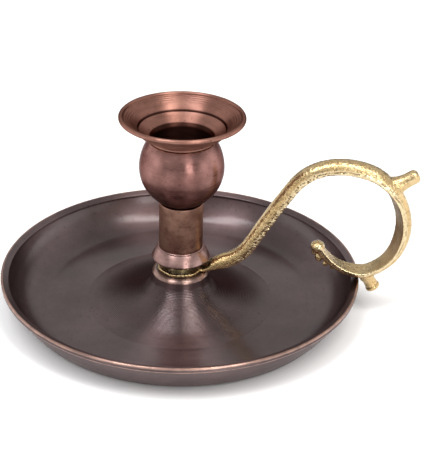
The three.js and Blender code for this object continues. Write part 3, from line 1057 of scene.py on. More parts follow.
@dataclass(frozen=True)
class CastBrass:
    """Sand-cast brass, polished where hands rub it and brown in its hollows.

    Attributes:
        name: Name of the finish.
        gold: Colour of the open skin.
        pale: Colour of polished edges.
        brown: Colour of hollows, pits and the inner face.
        roughness: Roughness of the open skin.
    """

    name: str
    gold: Colour
    pale: Colour
    brown: Colour
    roughness: float

    CLOUD_SCALE = 90.0
    CLOUD_SHARE = 0.5
    SPECK_SCALE = 1300.0
    SPECK_SHARE = 0.55
    RUB_SCALE = 420.0
    RUB_AMOUNT = 0.8
    RUB_SHARE = 0.8
    RUB_POLISH = 0.16
    BLOTCH_SCALE = 620.0
    BLOTCH = (0.44, 0.7)
    BLOTCH_SHARE = 0.3
    DIRT_LIMIT = 0.7
    INNER_CLOUD = (0.0, 1.0, 0.95, 0.6)
    INNER_ROUGH = 0.25
    INNER_DULL = 0.6
    SKIN_SCALE = 1300.0
    SKIN_ROUGH = 0.22
    SKIN_HEIGHT = 0.00015

    def make(self, groups: ShaderGroups) -> Material:
        """Build the material.

        Args:
            groups: The shared effects.

        Returns:
            The material.
        """
        finish = Finish(self.name)
        g = finish.graph
        spot = g.spot()
        clouds = {"Vector": spot, "Scale": self.CLOUD_SCALE, "Speck Scale": self.SPECK_SCALE}
        tarnish = g.group(groups.patina, clouds)
        edges = {"Vector": spot, "Edge": g.attribute("side")}
        edges |= {"Amount": self.RUB_AMOUNT, "Scale": self.RUB_SCALE}
        rubbed = g.group(groups.wear, edges)["Mask"]
        patches = g.noise(spot, self.BLOTCH_SCALE, 4.0, 0.75)
        blotch = g.ramp(patches, *self.BLOTCH) * self.BLOTCH_SHARE
        open_skin = g.blend(tarnish["Cloud"] * self.CLOUD_SHARE, self.gold, self.pale)
        warm = g.blend(blotch, open_skin, self.brown)
        bright = g.blend(rubbed * self.RUB_SHARE, warm, self.pale)
        sunk = g.math("MAXIMUM", g.attribute("seam"), g.attribute("pit"))
        dirt = g.math("MAXIMUM", sunk, tarnish["Speck"] * self.SPECK_SHARE)
        stained = g.blend(g.math("MINIMUM", dirt, self.DIRT_LIMIT), bright, self.brown)
        hollow = g.attribute("inner") * g.ramp(tarnish["Cloud"], *self.INNER_CLOUD)
        skin = g.noise(spot, self.SKIN_SCALE, 3.0, 0.65)
        rough = (skin - 0.5) * self.SKIN_ROUGH + self.roughness
        finish.fill({
            "Base Color": g.blend(hollow, stained, self.brown),
            "Roughness": rough + hollow * self.INNER_ROUGH - rubbed * self.RUB_POLISH,
            "Metallic": 1.0 - hollow * self.INNER_DULL,
        })
        finish.bump(skin, self.SKIN_HEIGHT)
        return finish.material


@dataclass(frozen=True)
class TurnedSteel:
    """Plain turned steel of the bolt, its nut, its washers and the bush.

    Attributes:
        name: Name of the finish.
        bright: Colour of the open surface.
        dull: Colour of the stained surface.
        roughness: Plain roughness.
    """

    name: str
    bright: Colour
    dull: Colour
    roughness: float

    CLOUD_SCALE = 180.0
    LINE_ROUGH = 0.2
    LINE_HEIGHT = 0.000008

    def make(self, groups: ShaderGroups, axis: Vector) -> Material:
        """Build the material.

        Args:
            groups: The shared effects.
            axis: The bolt's axis.

        Returns:
            The material.
        """
        finish = Finish(self.name)
        g = finish.graph
        spot = g.spot()
        turned = {"Vector": spot, "Centre": tuple(axis), "Travel": g.attribute("travel")}
        lines = g.group(groups.grain, turned)
        tarnish = g.group(groups.patina, {"Vector": spot, "Scale": self.CLOUD_SCALE})
        finish.fill({
            "Base Color": g.blend(tarnish["Cloud"], self.bright, self.dull),
            "Roughness": lines["Fine"] * self.LINE_ROUGH + self.roughness,
            "Metallic": 1.0,
        })
        finish.bump(lines["Fine"], self.LINE_HEIGHT)
        return finish.material


# Its grime colour also paints the shade behind the stem and around the cone.
DARK_COPPER = SpunCopper(
    "dark_spun_copper", deep=(0.08, 0.05, 0.05, 1), mid=(0.132, 0.086, 0.085, 1),
    worn=(0.46, 0.28, 0.22, 1), grime_and_shade=(0.036, 0.02, 0.021, 1), roughness=0.4, anisotropy=0.94,
    wear=0.7, cloud_scale=30.0, grain=0.12, bump=0.000002, lacquer=0.7,
)
PINK_COPPER = SpunCopper(
    "pink_worn_copper", deep=(0.19, 0.105, 0.095, 1), mid=(0.42, 0.265, 0.235, 1),
    worn=(0.64, 0.43, 0.36, 1), grime_and_shade=(0.06, 0.025, 0.02, 1), roughness=0.32, anisotropy=0.75,
    wear=0.55, cloud_scale=120.0, grain=0.4,
)
RED_COPPER = SpunCopper(
    "red_antiqued_copper", deep=(0.12, 0.05, 0.043, 1), mid=(0.33, 0.168, 0.145, 1),
    worn=(0.56, 0.33, 0.26, 1), grime_and_shade=(0.06, 0.022, 0.017, 1), roughness=0.31, anisotropy=0.7,
    wear=0.55, cloud_scale=65.0, grain=0.22,
)
# Its near-black grime colour is mostly the painted shade in the nozzle's bore and crease.
POLISHED_COPPER = SpunCopper(
    "polished_red_copper", deep=(0.22, 0.1, 0.075, 1), mid=(0.38, 0.188, 0.143, 1),
    worn=(0.55, 0.33, 0.25, 1), grime_and_shade=(0.022, 0.007, 0.005, 1), roughness=0.42, anisotropy=0.78,
    wear=0.5, cloud_scale=80.0, grain=0.5, lacquer=0.12,
)
BROWN_COPPER = SpunCopper(
    "brown_mottled_copper", deep=(0.16, 0.075, 0.056, 1), mid=(0.4, 0.23, 0.165, 1),
    worn=(0.5, 0.28, 0.2, 1), grime_and_shade=(0.03, 0.014, 0.01, 1), roughness=0.4, anisotropy=0.3, wear=0.5,
    cloud_scale=140.0, grain=0.3,
)
BRASS = CastBrass(
    "cast_brass", gold=(0.56, 0.39, 0.18, 1), pale=(0.75, 0.62, 0.39, 1),
    brown=(0.16, 0.078, 0.02, 1), roughness=0.26,
)
STEEL = TurnedSteel(
    "turned_steel", bright=(0.5, 0.5, 0.5, 1), dull=(0.3, 0.29, 0.28, 1), roughness=0.28
)


@dataclass
class Dish:
    """The spun dish: platform, cone, floor, wall and folded lip in one sheet."""

    rim_radius: float = 70.0
    rim_top: float = 14.8
    sheet: float = 1.1
    wall_flare: float = 10.0
    floor_radius: float = 53.0
    base_round: float = 1.7
    wall_bulge: float = 0.7
    lip_width: float = 3.1
    lip_height: float = 2.2
    lip_fall: float = 0.9
    lip_overhang: float = 0.45
    lip_round: float = 0.6
    lip_inner_round: float = 0.4
    hem_groove: float = 0.28
    hem_setback: float = 0.1
    cone_foot: float = 36.9
    cone_lean: float = 9.5
    platform_radius: float = 11.2
    platform_top: float = 14.9
    platform_round: float = 1.8
    hole_radius: float = 2.75
    hollow_round: float = 0.35
    ridges: Point = (0.62, 0.062)
    ridge_edge: float = 0.8
    ridge_fade: float = 14.0
    dents: Point = (0.05, 38.0)
    # The next four fields size a painted shade: the skirt darkened beside and behind the stem.
    tarnish: float = 0.72
    back_shade_edge: float = 4.0
    back_shade_fade: Point = (6.0, 3.0)
    back_shade_side: Point = (-18.0, 14.0)
    # The next two fields size a painted shade: a slightly darker ring around the cone.
    shade_share: float = 0.15
    shade_fade: float = 9.0
    lip_rub: float = 0.8
    # The platform's wear is partly a painted highlight on its rounded edge.
    platform_rub_and_highlight: float = 2.2
    sides: int = 150

    WALL_PULLS = ((0.52, 0.0), (0.82, 0.33))
    CONE_PULL = (0.04, 0.82)
    CONE_SKIRT = 0.77
    LIP_START = 0.85
    LIP_FOLD = 0.52
    GROOVE_HALF = 0.6
    UNDER_LIP = 0.9
    WALL_STEPS = 40
    FLANK_STEPS = 24
    BEND_STEPS = 8
    CONE_STEPS = 300
    CONE_POINTS = 380
    HOLLOW_EVERY = 18
    CLEAR_OF_FLOOR = 0.1
    CLEAR_OF_EDGE = 0.05
    TOP_SLACK = 0.05
    RUB_REACH = 0.3

    def _wall(self) -> list[Point]:
        """The inside of the wall: a wide sweep up from the floor.

        Returns:
            Points in order.
        """
        top_radius = self.rim_radius - self.lip_width + self.lip_overhang
        top = (top_radius, self.rim_top - self.lip_height + self.lip_round / 2)
        run, rise = top[0] - self.floor_radius, top[1] - self.sheet
        pulls = [(self.floor_radius + run * a, self.sheet + rise * b) for a, b in self.WALL_PULLS]
        return bezier([(self.floor_radius, self.sheet), *pulls, top], self.WALL_STEPS)

    def _outside(self) -> list[Point]:
        """The outside of the wall, from the lip down to the flat underside.

        Returns:
            Points in order.
        """
        foot = Vector((self.rim_radius - self.wall_flare, 0.0))
        top_radius = self.rim_radius - self.lip_width + self.lip_overhang
        top_radius += self.sheet * self.UNDER_LIP
        top = Vector((top_radius, self.rim_top - self.lip_height))
        chord = top - foot
        aside = Vector((chord.y, -chord.x)).normalized() * self.wall_bulge * 2
        flank = bezier([foot, foot.lerp(top, 0.5) + aside, top], self.FLANK_STEPS)
        start = next(i for i, p in enumerate(flank) if (Vector(p) - foot).length > self.base_round)
        bend = bezier([(foot.x - self.base_round, 0.0), foot, flank[start]], self.BEND_STEPS)
        return (bend + flank[start + 1:])[::-1]

    def _cone(self) -> list[Point]:
        """The cone from the platform's edge down to its foot.

        Returns:
            Points in order.
        """
        top = self.platform_top - self.platform_round
        reach, drop = self.cone_foot - self.platform_radius, top - self.sheet
        skirt = reach * self.CONE_SKIRT
        inward, down = self.CONE_PULL
        controls = [
            (self.platform_radius, top), (self.platform_radius + reach * inward, top - drop * down),
            (self.cone_foot - skirt, self.sheet + skirt * math.tan(math.radians(self.cone_lean))),
            (self.cone_foot, self.sheet),
        ]
        line = [Vector(point) for point in bezier(controls, self.CONE_STEPS)]
        return [tuple(point) for point in evenly(line, self.CONE_POINTS)]

    def _lip(self) -> list[Point]:
        """The folded lip from its inner edge over the top to its underside.

        Returns:
            Points in order.
        """
        inner, edge = self.rim_radius - self.lip_width, self.rim_radius - self.lip_round
        face, under = self.rim_top - self.lip_fall, self.rim_top - self.lip_height
        fold = self.rim_top - self.lip_height * self.LIP_FOLD
        groove, half = self.hem_groove, self.hem_groove * self.GROOVE_HALF
        small, large, back = self.lip_inner_round, self.lip_round, self.hem_setback
        return [
            (inner, under + large * self.LIP_START),
            *arc(inner + small, face - small, small, small, 180, 105, 4),
            *arc(edge, self.rim_top - large, large, large, 95, 0, 8),
            (self.rim_radius, fold + half), (self.rim_radius - groove, fold),
            (self.rim_radius - back, fold - half),
            *arc(edge - back, under + large, large, large, 0, -90, 6),
        ]

    def outline(self) -> Outline:
        """The whole outline of the sheet.

        Returns:
            The outline, with ridges on the cone.
        """
        size = self.platform_round
        middle = self.platform_radius - size
        round_edge = arc(middle, self.platform_top - size, size, size, 90, 4, 8)
        cone = self._cone()
        under = self.platform_top - self.sheet
        inside = moved_aside(cone[:: self.HOLLOW_EVERY], self.sheet)[:-1]
        hollow = [p for p in inside if p[1] < under - self.hollow_round]
        points = [
            (self.hole_radius, self.platform_top), *round_edge, *cone[1:], *self._wall(),
            *self._lip(), *self._outside(), (self.cone_foot - self.sheet, 0.0), *hollow[::-1],
            (hollow[0][0] - self.hollow_round, under), (self.hole_radius, under),
        ]
        shares = {"ridged": self._ridges, "rubbed": self._rubbed, "painted_shade": self._painted_shade}
        return Outline(points, edge=0.2, step=2.0, **shares)

    def _ring(self, r: float, edge: float, fade: float, end: float) -> float:
        """Share of a ring that sets in at the platform's edge and fades out between two radii."""
        set_in = smoothstep(r, self.platform_radius, self.platform_radius + edge)
        return set_in * (1.0 - smoothstep(r, fade, end))

    def _painted_shade(self, r: float, z: float) -> float:
        """Share of the painted shade: a slightly darker ring around the cone."""
        ring = self._ring(r, self.back_shade_edge, self.cone_foot - self.shade_fade, self.cone_foot)
        return self.shade_share * ring if z > self.sheet - self.TOP_SLACK else 0.0

    def _rubbed(self, r: float, z: float) -> float:
        """Share of the wear: the lip's outer edge is rubbed; the platform's edge is rubbed and
        partly a painted highlight.
        """
        lip = self.lip_rub if r > self.rim_radius - self.lip_width / 2 else 0.0
        return self.platform_rub_and_highlight if r < self.platform_radius + self.RUB_REACH else lip

    def _ridges(self, r: float, z: float) -> float:
        """Share of the ridges' depth: strong on the cone's flank, fading out over its foot.

        Args:
            r: Radius.
            z: Height.

        Returns:
            The share.
        """
        on_cone = self.platform_radius + self.CLEAR_OF_EDGE < r < self.cone_foot
        if z < self.sheet + self.CLEAR_OF_FLOOR or not on_cone:
            return 0.0
        fade = self.platform_radius + self.ridge_fade
        return self._ring(r, self.ridge_edge, fade, self.cone_foot)

    def _paint_back_shade(self, mesh: Mesh, axis: Vector) -> None:
        """Paint shade on the skirt beside and behind the stem: a darker crescent in place of the
        dark reflection there.

        Args:
            mesh: The turned dish.
            axis: A point on its axis.
        """
        wear = mesh.attributes["wear"].data
        fade = self.platform_radius + self.back_shade_fade[0]
        end = self.cone_foot + self.back_shade_fade[1]
        for vertex in mesh.vertices:
            away = (vertex.co - axis).xy / MM
            ring = self._ring(away.length, self.back_shade_edge, fade, end)
            side = smoothstep(away.y, *self.back_shade_side)
            # Painted shade: the share taken off wear here darkens the skirt towards the dark grime
            # colour.
            wear[vertex.index].value -= self.tarnish * ring * side

    def dress(self, lathe: Lathe, finish: Material) -> None:
        """Turn the dish and put it on the stand.

        Args:
            lathe: The lathe.
            finish: The dish's material.
        """
        outline = self.outline()
        dish = lathe.turn("spun_dish", outline, finish, self.sides, self.ridges, self.dents)
        self._paint_back_shade(dish.data, lathe.axis)
        attach(dish, Body.STAND, Slot.DISH, "drip_pan")


@dataclass
class Stem:
    """Collar, tube and the bush that carries the collar above the handle's eye."""

    collar_bottom: float = 20.3
    collar_top: float = 25.4
    collar_radius: float = 8.95
    collar_flare: float = 2.35
    collar_sheet: float = 1.2
    collar_flat: float = 0.25
    bead_inset: float = 0.2
    bead_width: float = 0.4
    bead_height: float = 0.36
    flank_start: Point = (0.12, 0.75)
    flank_bulge: float = 1.95
    flank_end: float = 0.45
    roll: float = 0.36
    roll_inset: float = 0.35
    tube_radius: float = 8.5
    tube_bottom: float = 25.45
    tube_top: float = 43.05
    tube_wall: float = 1.1
    tube_rim: float = 1.3
    rim_bevel: float = 0.35
    rim_foot: float = 0.5
    dents: Point = (0.09, 130.0)
    bush_radius: float = 4.4
    bush_bottom: float = 16.35
    bush_gap: float = 0.05
    hole_radius: float = 2.75
    collar_sides: int = 128
    tube_sides: int = 112
    bush_sides: int = 64

    RIM_SHARE = 0.8
    FLANK_STEPS = 14

    def collar(self) -> Outline:
        """The conical skirt, with a small bead at its top and a rolled lower edge.

        Returns:
            The outline.
        """
        radius, top, low = self.collar_radius, self.collar_top, self.collar_bottom
        under = top - self.collar_sheet
        bottom = radius + self.collar_flare
        controls = [
            (radius + self.flank_start[0], top - self.flank_start[1]),
            (radius + self.collar_flare * 0.5, top - self.flank_bulge),
            (bottom, low + self.flank_end),
        ]
        bead = (radius - self.bead_inset, top - self.bead_height, self.bead_width, self.bead_height)
        points = [
            (self.hole_radius, top), (radius - self.collar_flat, top), *arc(*bead, 70, -50, 6),
            *bezier(controls, self.FLANK_STEPS),
            *arc(bottom - self.roll_inset, low + self.roll, self.roll, self.roll, 10, -90, 5),
            (bottom - self.collar_sheet, low), (radius - self.collar_sheet, under),
            (self.hole_radius, under),
        ]
        return Outline(points, edge=0.15, rubbed=lambda r, z: 0.4)

    def tube(self) -> Outline:
        """The tube, closed on top by a thin crown whose rim reaches up around the bulb's foot.

        Returns:
            The outline.
        """
        ceiling = self.tube_top - self.tube_wall
        inner = self.tube_radius - self.tube_wall
        rim = self.tube_top + self.tube_rim
        points = [
            (inner, self.tube_bottom), (self.tube_radius, self.tube_bottom),
            (self.tube_radius, rim),
            (self.tube_radius - self.tube_wall * self.RIM_SHARE, rim - self.rim_bevel),
            (inner - self.rim_foot, self.tube_top), (self.hole_radius, self.tube_top),
            (self.hole_radius, ceiling), (inner, ceiling),
        ]
        return Outline(points, edge=0.32, step=1.2, rubbed=lambda r, z: 0.0)

    def bush(self) -> Outline:
        """Return the outline of the plain bush."""
        top = self.collar_top - self.collar_sheet - self.bush_gap
        return Outline(block(self.hole_radius, self.bush_radius, self.bush_bottom, top), edge=0.3)

    def dress(self, lathe: Lathe, pink: Material, brown: Material, steel: Material) -> None:
        """Build the three pieces and put them on the stand.

        Args:
            lathe: The lathe.
            pink: Finish of the collar.
            brown: Finish of the tube.
            steel: Finish of the bush.
        """
        collar = lathe.turn("skirt_collar", self.collar(), pink, self.collar_sides)
        attach(collar, Body.STAND, Slot.RED, "stem_collar")
        tube = lathe.turn("short_stem", self.tube(), brown, self.tube_sides, dents=self.dents)
        attach(tube, Body.STAND, Slot.STEM, "stem_tube")
        bush = lathe.turn("steel_bush", self.bush(), steel, self.bush_sides)
        attach(bush, Body.STAND, Slot.STEEL, "stem_spacer")


@dataclass
class Socket:
    """The round bulb and the flared nozzle that lifts out of it."""

    bulb_bottom: float = 43.1
    bulb_seat: float = 6.2
    bulb_radius: float = 16.165
    bulb_sheet: float = 0.9
    floor_round: float = 0.35
    equator: float = 58.7
    lower_axis: float = 15.87
    lowest_angle: float = -64.0
    mouth_top: float = 69.9
    mouth_radius: float = 11.9
    mouth_edge: float = 12.665
    hole_radius: float = 2.75
    bulb_dents: Point = (0.12, 70.0)
    bulb_sides: int = 144
    bore: float = 11.0
    spigot_wall: float = 0.6
    spigot_depth: float = 7.6
    shoulder: float = 70.1
    shoulder_width: float = 0.85
    shoulder_height: float = 0.75
    nozzle_sheet: float = 0.8
    trumpet_height: float = 4.1
    crease_reach: float = 5.5
    crease_step: float = 0.4
    flare_reach: float = 7.25
    flare_sag: float = 1.0
    flare_height: float = 4.4
    bead: float = 0.9
    lines: Point = (0.95, 0.05)
    line_band: Point = (3.0, 0.2)
    nozzle_dents: Point = (0.06, 60.0)
    nozzle_sides: int = 160
    # The next three fields size a painted shade inside the nozzle: bore, trumpet foot and crease
    # darkened.
    shade_share: float = 1.5
    shade_fade: Point = (0.4, 1.7)
    crease_shade: float = 0.5

    SEAT_SHARE = 0.22
    LOWER_STEPS = 34
    UPPER_STEPS = 24
    TRUMPET_START = 0.25
    TRUMPET_PULLS = ((0.06, 0.34), (0.55, 0.44))
    TRUMPET_STEPS = 24
    TRUMPET_SKIPPED = 8
    CREASE_SHARE = 0.5
    FUNNEL_END = (0.98, 0.17)
    FUNNEL_LIFT = 0.4
    FUNNEL_STEPS = 60
    FUNNEL_EVERY = 4
    SPIGOT_BEVEL = (0.35, 0.65)
    BEAD_RUB = 1.2
    LINE_FLOOR = 0.35
    SHADE_MARGIN = (1.0, 0.3)

    def bulb(self) -> Outline:
        """The bulb: flat seat, full lower half, upper half that closes in to the mouth.

        Returns:
            The outline.
        """
        radius, middle = self.bulb_radius, self.equator
        upper = self.mouth_top - middle
        upper_axis = upper / math.sqrt(1 - (self.mouth_edge / radius) ** 2)
        mouth_angle = math.degrees(math.asin(upper / upper_axis))
        floor = self.bulb_bottom + self.bulb_sheet
        lower = arc(0, middle, radius, self.lower_axis, self.lowest_angle, 0, self.LOWER_STEPS)
        skin = lower + arc(0, middle, radius, upper_axis, 0, mouth_angle, self.UPPER_STEPS)[1:]
        lining = moved_aside(skin, -self.bulb_sheet)[::-1]
        inside = [p for p in lining if p[1] > floor + self.floor_round]
        inside[0] = (self.mouth_radius, self.mouth_top)
        points = [
            (self.hole_radius, self.bulb_bottom), (self.bulb_seat, self.bulb_bottom), *skin,
            *inside, (self.bulb_seat - self.bulb_sheet * self.SEAT_SHARE, floor),
            (self.hole_radius, floor),
        ]
        return Outline(points, edge=0.22)

    def _trumpet(self) -> list[Point]:
        """The nozzle's inner stage, from the bore up to the crease.

        Returns:
            Points in order.
        """
        (low_r, low_z), (high_r, high_z) = self.TRUMPET_PULLS
        top = self.shoulder + self.trumpet_height
        end = self.bore + self.crease_reach - self.crease_step * self.CREASE_SHARE
        controls = [
            (self.bore, self.shoulder + self.nozzle_sheet * self.TRUMPET_START),
            (self.bore + self.crease_reach * low_r, self.shoulder + self.trumpet_height * low_z),
            (self.bore + self.crease_reach * high_r, top - self.trumpet_height * high_z),
            (end, top),
        ]
        return bezier(controls, self.TRUMPET_STEPS)

    def nozzle(self) -> Outline:
        """The nozzle: spigot, shoulder, trumpet, crease, funnel and rolled bead.

        Returns:
            The outline, with turning lines on the funnel near its bead.
        """
        crease_radius = self.bore + self.crease_reach
        crease = (crease_radius, self.shoulder + self.trumpet_height + self.crease_step)
        bead_height = crease[1] + self.flare_height
        bead_radius = crease_radius + self.flare_reach - self.bead
        inset, drop = self.FUNNEL_END
        top = (bead_radius - self.bead * inset, bead_height - self.bead * drop)
        sag_radius = (crease[0] + top[0]) / 2 - self.flare_sag
        sag_height = (crease[1] + top[1]) / 2 + self.flare_sag * self.FUNNEL_LIFT
        funnel = bezier([crease, (sag_radius, sag_height), top], self.FUNNEL_STEPS)
        trumpet, sheet = self._trumpet(), self.nozzle_sheet
        bottom = self.shoulder - self.spigot_depth
        spigot = self.bore + self.spigot_wall
        wide = spigot + self.shoulder_width
        bevel_in, bevel_up = (self.spigot_wall * share for share in self.SPIGOT_BEVEL)
        points = [
            (self.bore, bottom), *trumpet, *funnel,
            *arc(bead_radius, bead_height, self.bead, self.bead, 178, -112, 22)[1:],
            *moved_aside(funnel[:: self.FUNNEL_EVERY], sheet)[::-1][1:],
            *moved_aside(trumpet, sheet)[::-1][1:-self.TRUMPET_SKIPPED],
            (wide, self.shoulder + self.shoulder_height), (wide, self.shoulder),
            (spigot, self.shoulder), (spigot, bottom + bevel_up), (spigot - bevel_in, bottom),
        ]
        shares = {"ridged": self._lines, "rubbed": self._rubbed, "painted_shade": self._painted_shade}
        return Outline(points, edge=0.2, **shares)

    def _painted_shade(self, r: float, z: float) -> float:
        """Share of painted shade: the bore, the trumpet's lower part and the crease are painted
        dark where shade falls inside the nozzle.

        Args:
            r: Radius.
            z: Height.

        Returns:
            The share.
        """
        edge = self.bore + self.crease_reach
        on_top = z > self.shoulder + self.trumpet_height
        crease = max(0.0, 1.0 - abs(r - edge) / self.crease_shade) * float(on_top)
        short, above = self.SHADE_MARGIN
        if r >= edge - short or z <= self.shoulder - self.spigot_depth + above:
            return crease
        start, end = (self.bore + reach for reach in self.shade_fade)
        return max(crease, self.shade_share * (1.0 - smoothstep(r, start, end)))

    def _rubbed(self, r: float, z: float) -> float:
        """Share of the wear: the bead's crown and outer half are rubbed."""
        rim = self.bore + self.crease_reach + self.flare_reach
        return float(r > rim - self.bead * self.BEAD_RUB)

    def _on_funnel(self, z: float) -> bool:
        """Tell whether a height lies on the funnel's upper part."""
        crease = self.shoulder + self.trumpet_height + self.crease_step
        return z > crease + self.flare_height * self.LINE_FLOOR

    def _lines(self, r: float, z: float) -> float:
        """Share of the turning lines' depth: three lines on the funnel just inside the bead."""
        inset = self.bore + self.crease_reach + self.flare_reach - 2 * self.bead - r
        return float(self._on_funnel(z) and self.line_band[1] < inset < self.line_band[0])

    def dress(self, lathe: Lathe, red: Material, polished: Material) -> None:
        """Build the bulb on the stand and the nozzle on its own body.

        Args:
            lathe: The lathe.
            red: Finish of the bulb.
            polished: Finish of the nozzle.
        """
        bulb = lathe.turn("round_bulb", self.bulb(), red, self.bulb_sides, dents=self.bulb_dents)
        attach(bulb, Body.STAND, Slot.RED, "candle_bulb")
        outline, sides = self.nozzle(), self.nozzle_sides
        relief = (self.lines, self.nozzle_dents)
        nozzle = lathe.turn("flared_nozzle", outline, polished, sides, *relief)
        attach(nozzle, Body.NOZZLE, Slot.RED, "nozzle")


@dataclass
class Fixings:
    """Bolt, washers and nut that clamp the stack together."""

    bolt_radius: float = 2.5
    bolt_end: float = 6.4
    bolt_chamfer: float = 0.35
    head_radius: float = 4.6
    head_bottom: float = 45.2
    head_height: float = 2.7
    head_round: float = 0.9
    thread_top: float = 14.0
    thread_pitch: float = 0.8
    thread_starts: float = 1.0
    thread_depth: float = 0.22
    thread_end: float = 0.5
    thread_step: float = 0.1
    washer_radius: float = 5.4
    washer_height: float = 1.1
    hole_radius: float = 2.75
    bulb_washer_bottom: float = 44.05
    pan_washer_bottom: float = 12.65
    nut_bottom: float = 8.6
    nut_height: float = 4.0
    nut_flats: float = 8.0
    nut_bore: float = 2.6
    nut_chamfer: float = 0.55
    nut_bevel: float = 0.3
    bolt_sides: int = 56
    washer_sides: int = 64
    nut_sides: int = 96

    NUT_FACE = 0.96
    SIXTH = math.pi / 3

    def bolt(self) -> Outline:
        """The bolt, from its tail up to its rounded head.

        Returns:
            The outline, with the thread on its tail.
        """
        top, size = self.head_bottom + self.head_height, self.head_round
        root = self.bolt_radius - self.thread_depth
        steps = round((self.thread_top - self.bolt_end) / self.thread_step)
        tail = self.bolt_end + self.bolt_chamfer
        points = [
            (0.0, self.bolt_end), (root - self.bolt_chamfer, self.bolt_end),
            *((root, tail + self.thread_step * i) for i in range(steps)),
            (self.bolt_radius, self.thread_top + self.thread_end),
            (self.bolt_radius, self.head_bottom), (self.head_radius, self.head_bottom),
            *arc(self.head_radius - size, top - size, size, size, 0, 90, 8), (0.0, top),
        ]
        threaded: Share = lambda r, z: float(self.bolt_end < z < self.thread_top)
        return Outline(points, edge=0.2, closed=False, ridged=threaded)

    def washer(self, bottom: float) -> Outline:
        """Return the outline of a flat washer whose underside lies at a height."""
        top = bottom + self.washer_height
        return Outline(block(self.hole_radius, self.washer_radius, bottom, top), edge=0.22)

    def nut(self, axis: Vector, finish: Material) -> Piece:
        """The hexagon nut, chamfered above and below.

        Args:
            axis: The bolt's axis.
            finish: Its material.

        Returns:
            The nut.
        """
        half, low = self.nut_flats / 2, self.nut_bottom
        high = low + self.nut_height
        face, wide = half * self.NUT_FACE, self.nut_bore + self.nut_bevel
        corner = half / math.cos(self.SIXTH / 2)
        profile = [
            (self.nut_bore, low + self.nut_bevel), (wide, low), (face, low),
            (corner, low + self.nut_chamfer), (corner, high - self.nut_chamfer), (face, high),
            (wide, high), (self.nut_bore, high - self.nut_bevel),
        ]
        rings = []
        for radius, height in profile:
            ring = []
            for angle in around(self.nut_sides):
                flat = half / math.cos((angle + self.SIXTH / 2) % self.SIXTH - self.SIXTH / 2)
                limit = min(radius, flat) * MM
                x, y = axis.x + limit * math.cos(angle), axis.y + limit * math.sin(angle)
                ring.append((x, y, height * MM))
            rings.append(ring)
        mesh = bmesh.new()
        add_rings(mesh, rings, closed=True)
        data = from_bmesh(mesh, "six_sided_nut")
        data.materials.append(finish)
        return linked("six_sided_nut", data)

    def dress(self, lathe: Lathe, steel: Material) -> None:
        """Build the fixings and put them on the stand.

        Args:
            lathe: The lathe.
            steel: Their finish.
        """
        thread = {"ridges": (self.thread_pitch, self.thread_depth), "lead": self.thread_starts}
        bolt = lathe.turn("through_bolt", self.bolt(), steel, self.bolt_sides, **thread)
        attach(bolt, Body.STAND, Slot.STEEL, "tie_bolt")
        for name, bottom, node in (
            ("upper_washer", self.bulb_washer_bottom, "bulb_washer"),
            ("lower_washer", self.pan_washer_bottom, "pan_washer"),
        ):
            washer = lathe.turn(name, self.washer(bottom), steel, self.washer_sides)
            attach(washer, Body.STAND, Slot.STEEL, node)
        attach(self.nut(lathe.axis, steel), Body.STAND, Slot.STEEL, "hex_nut")


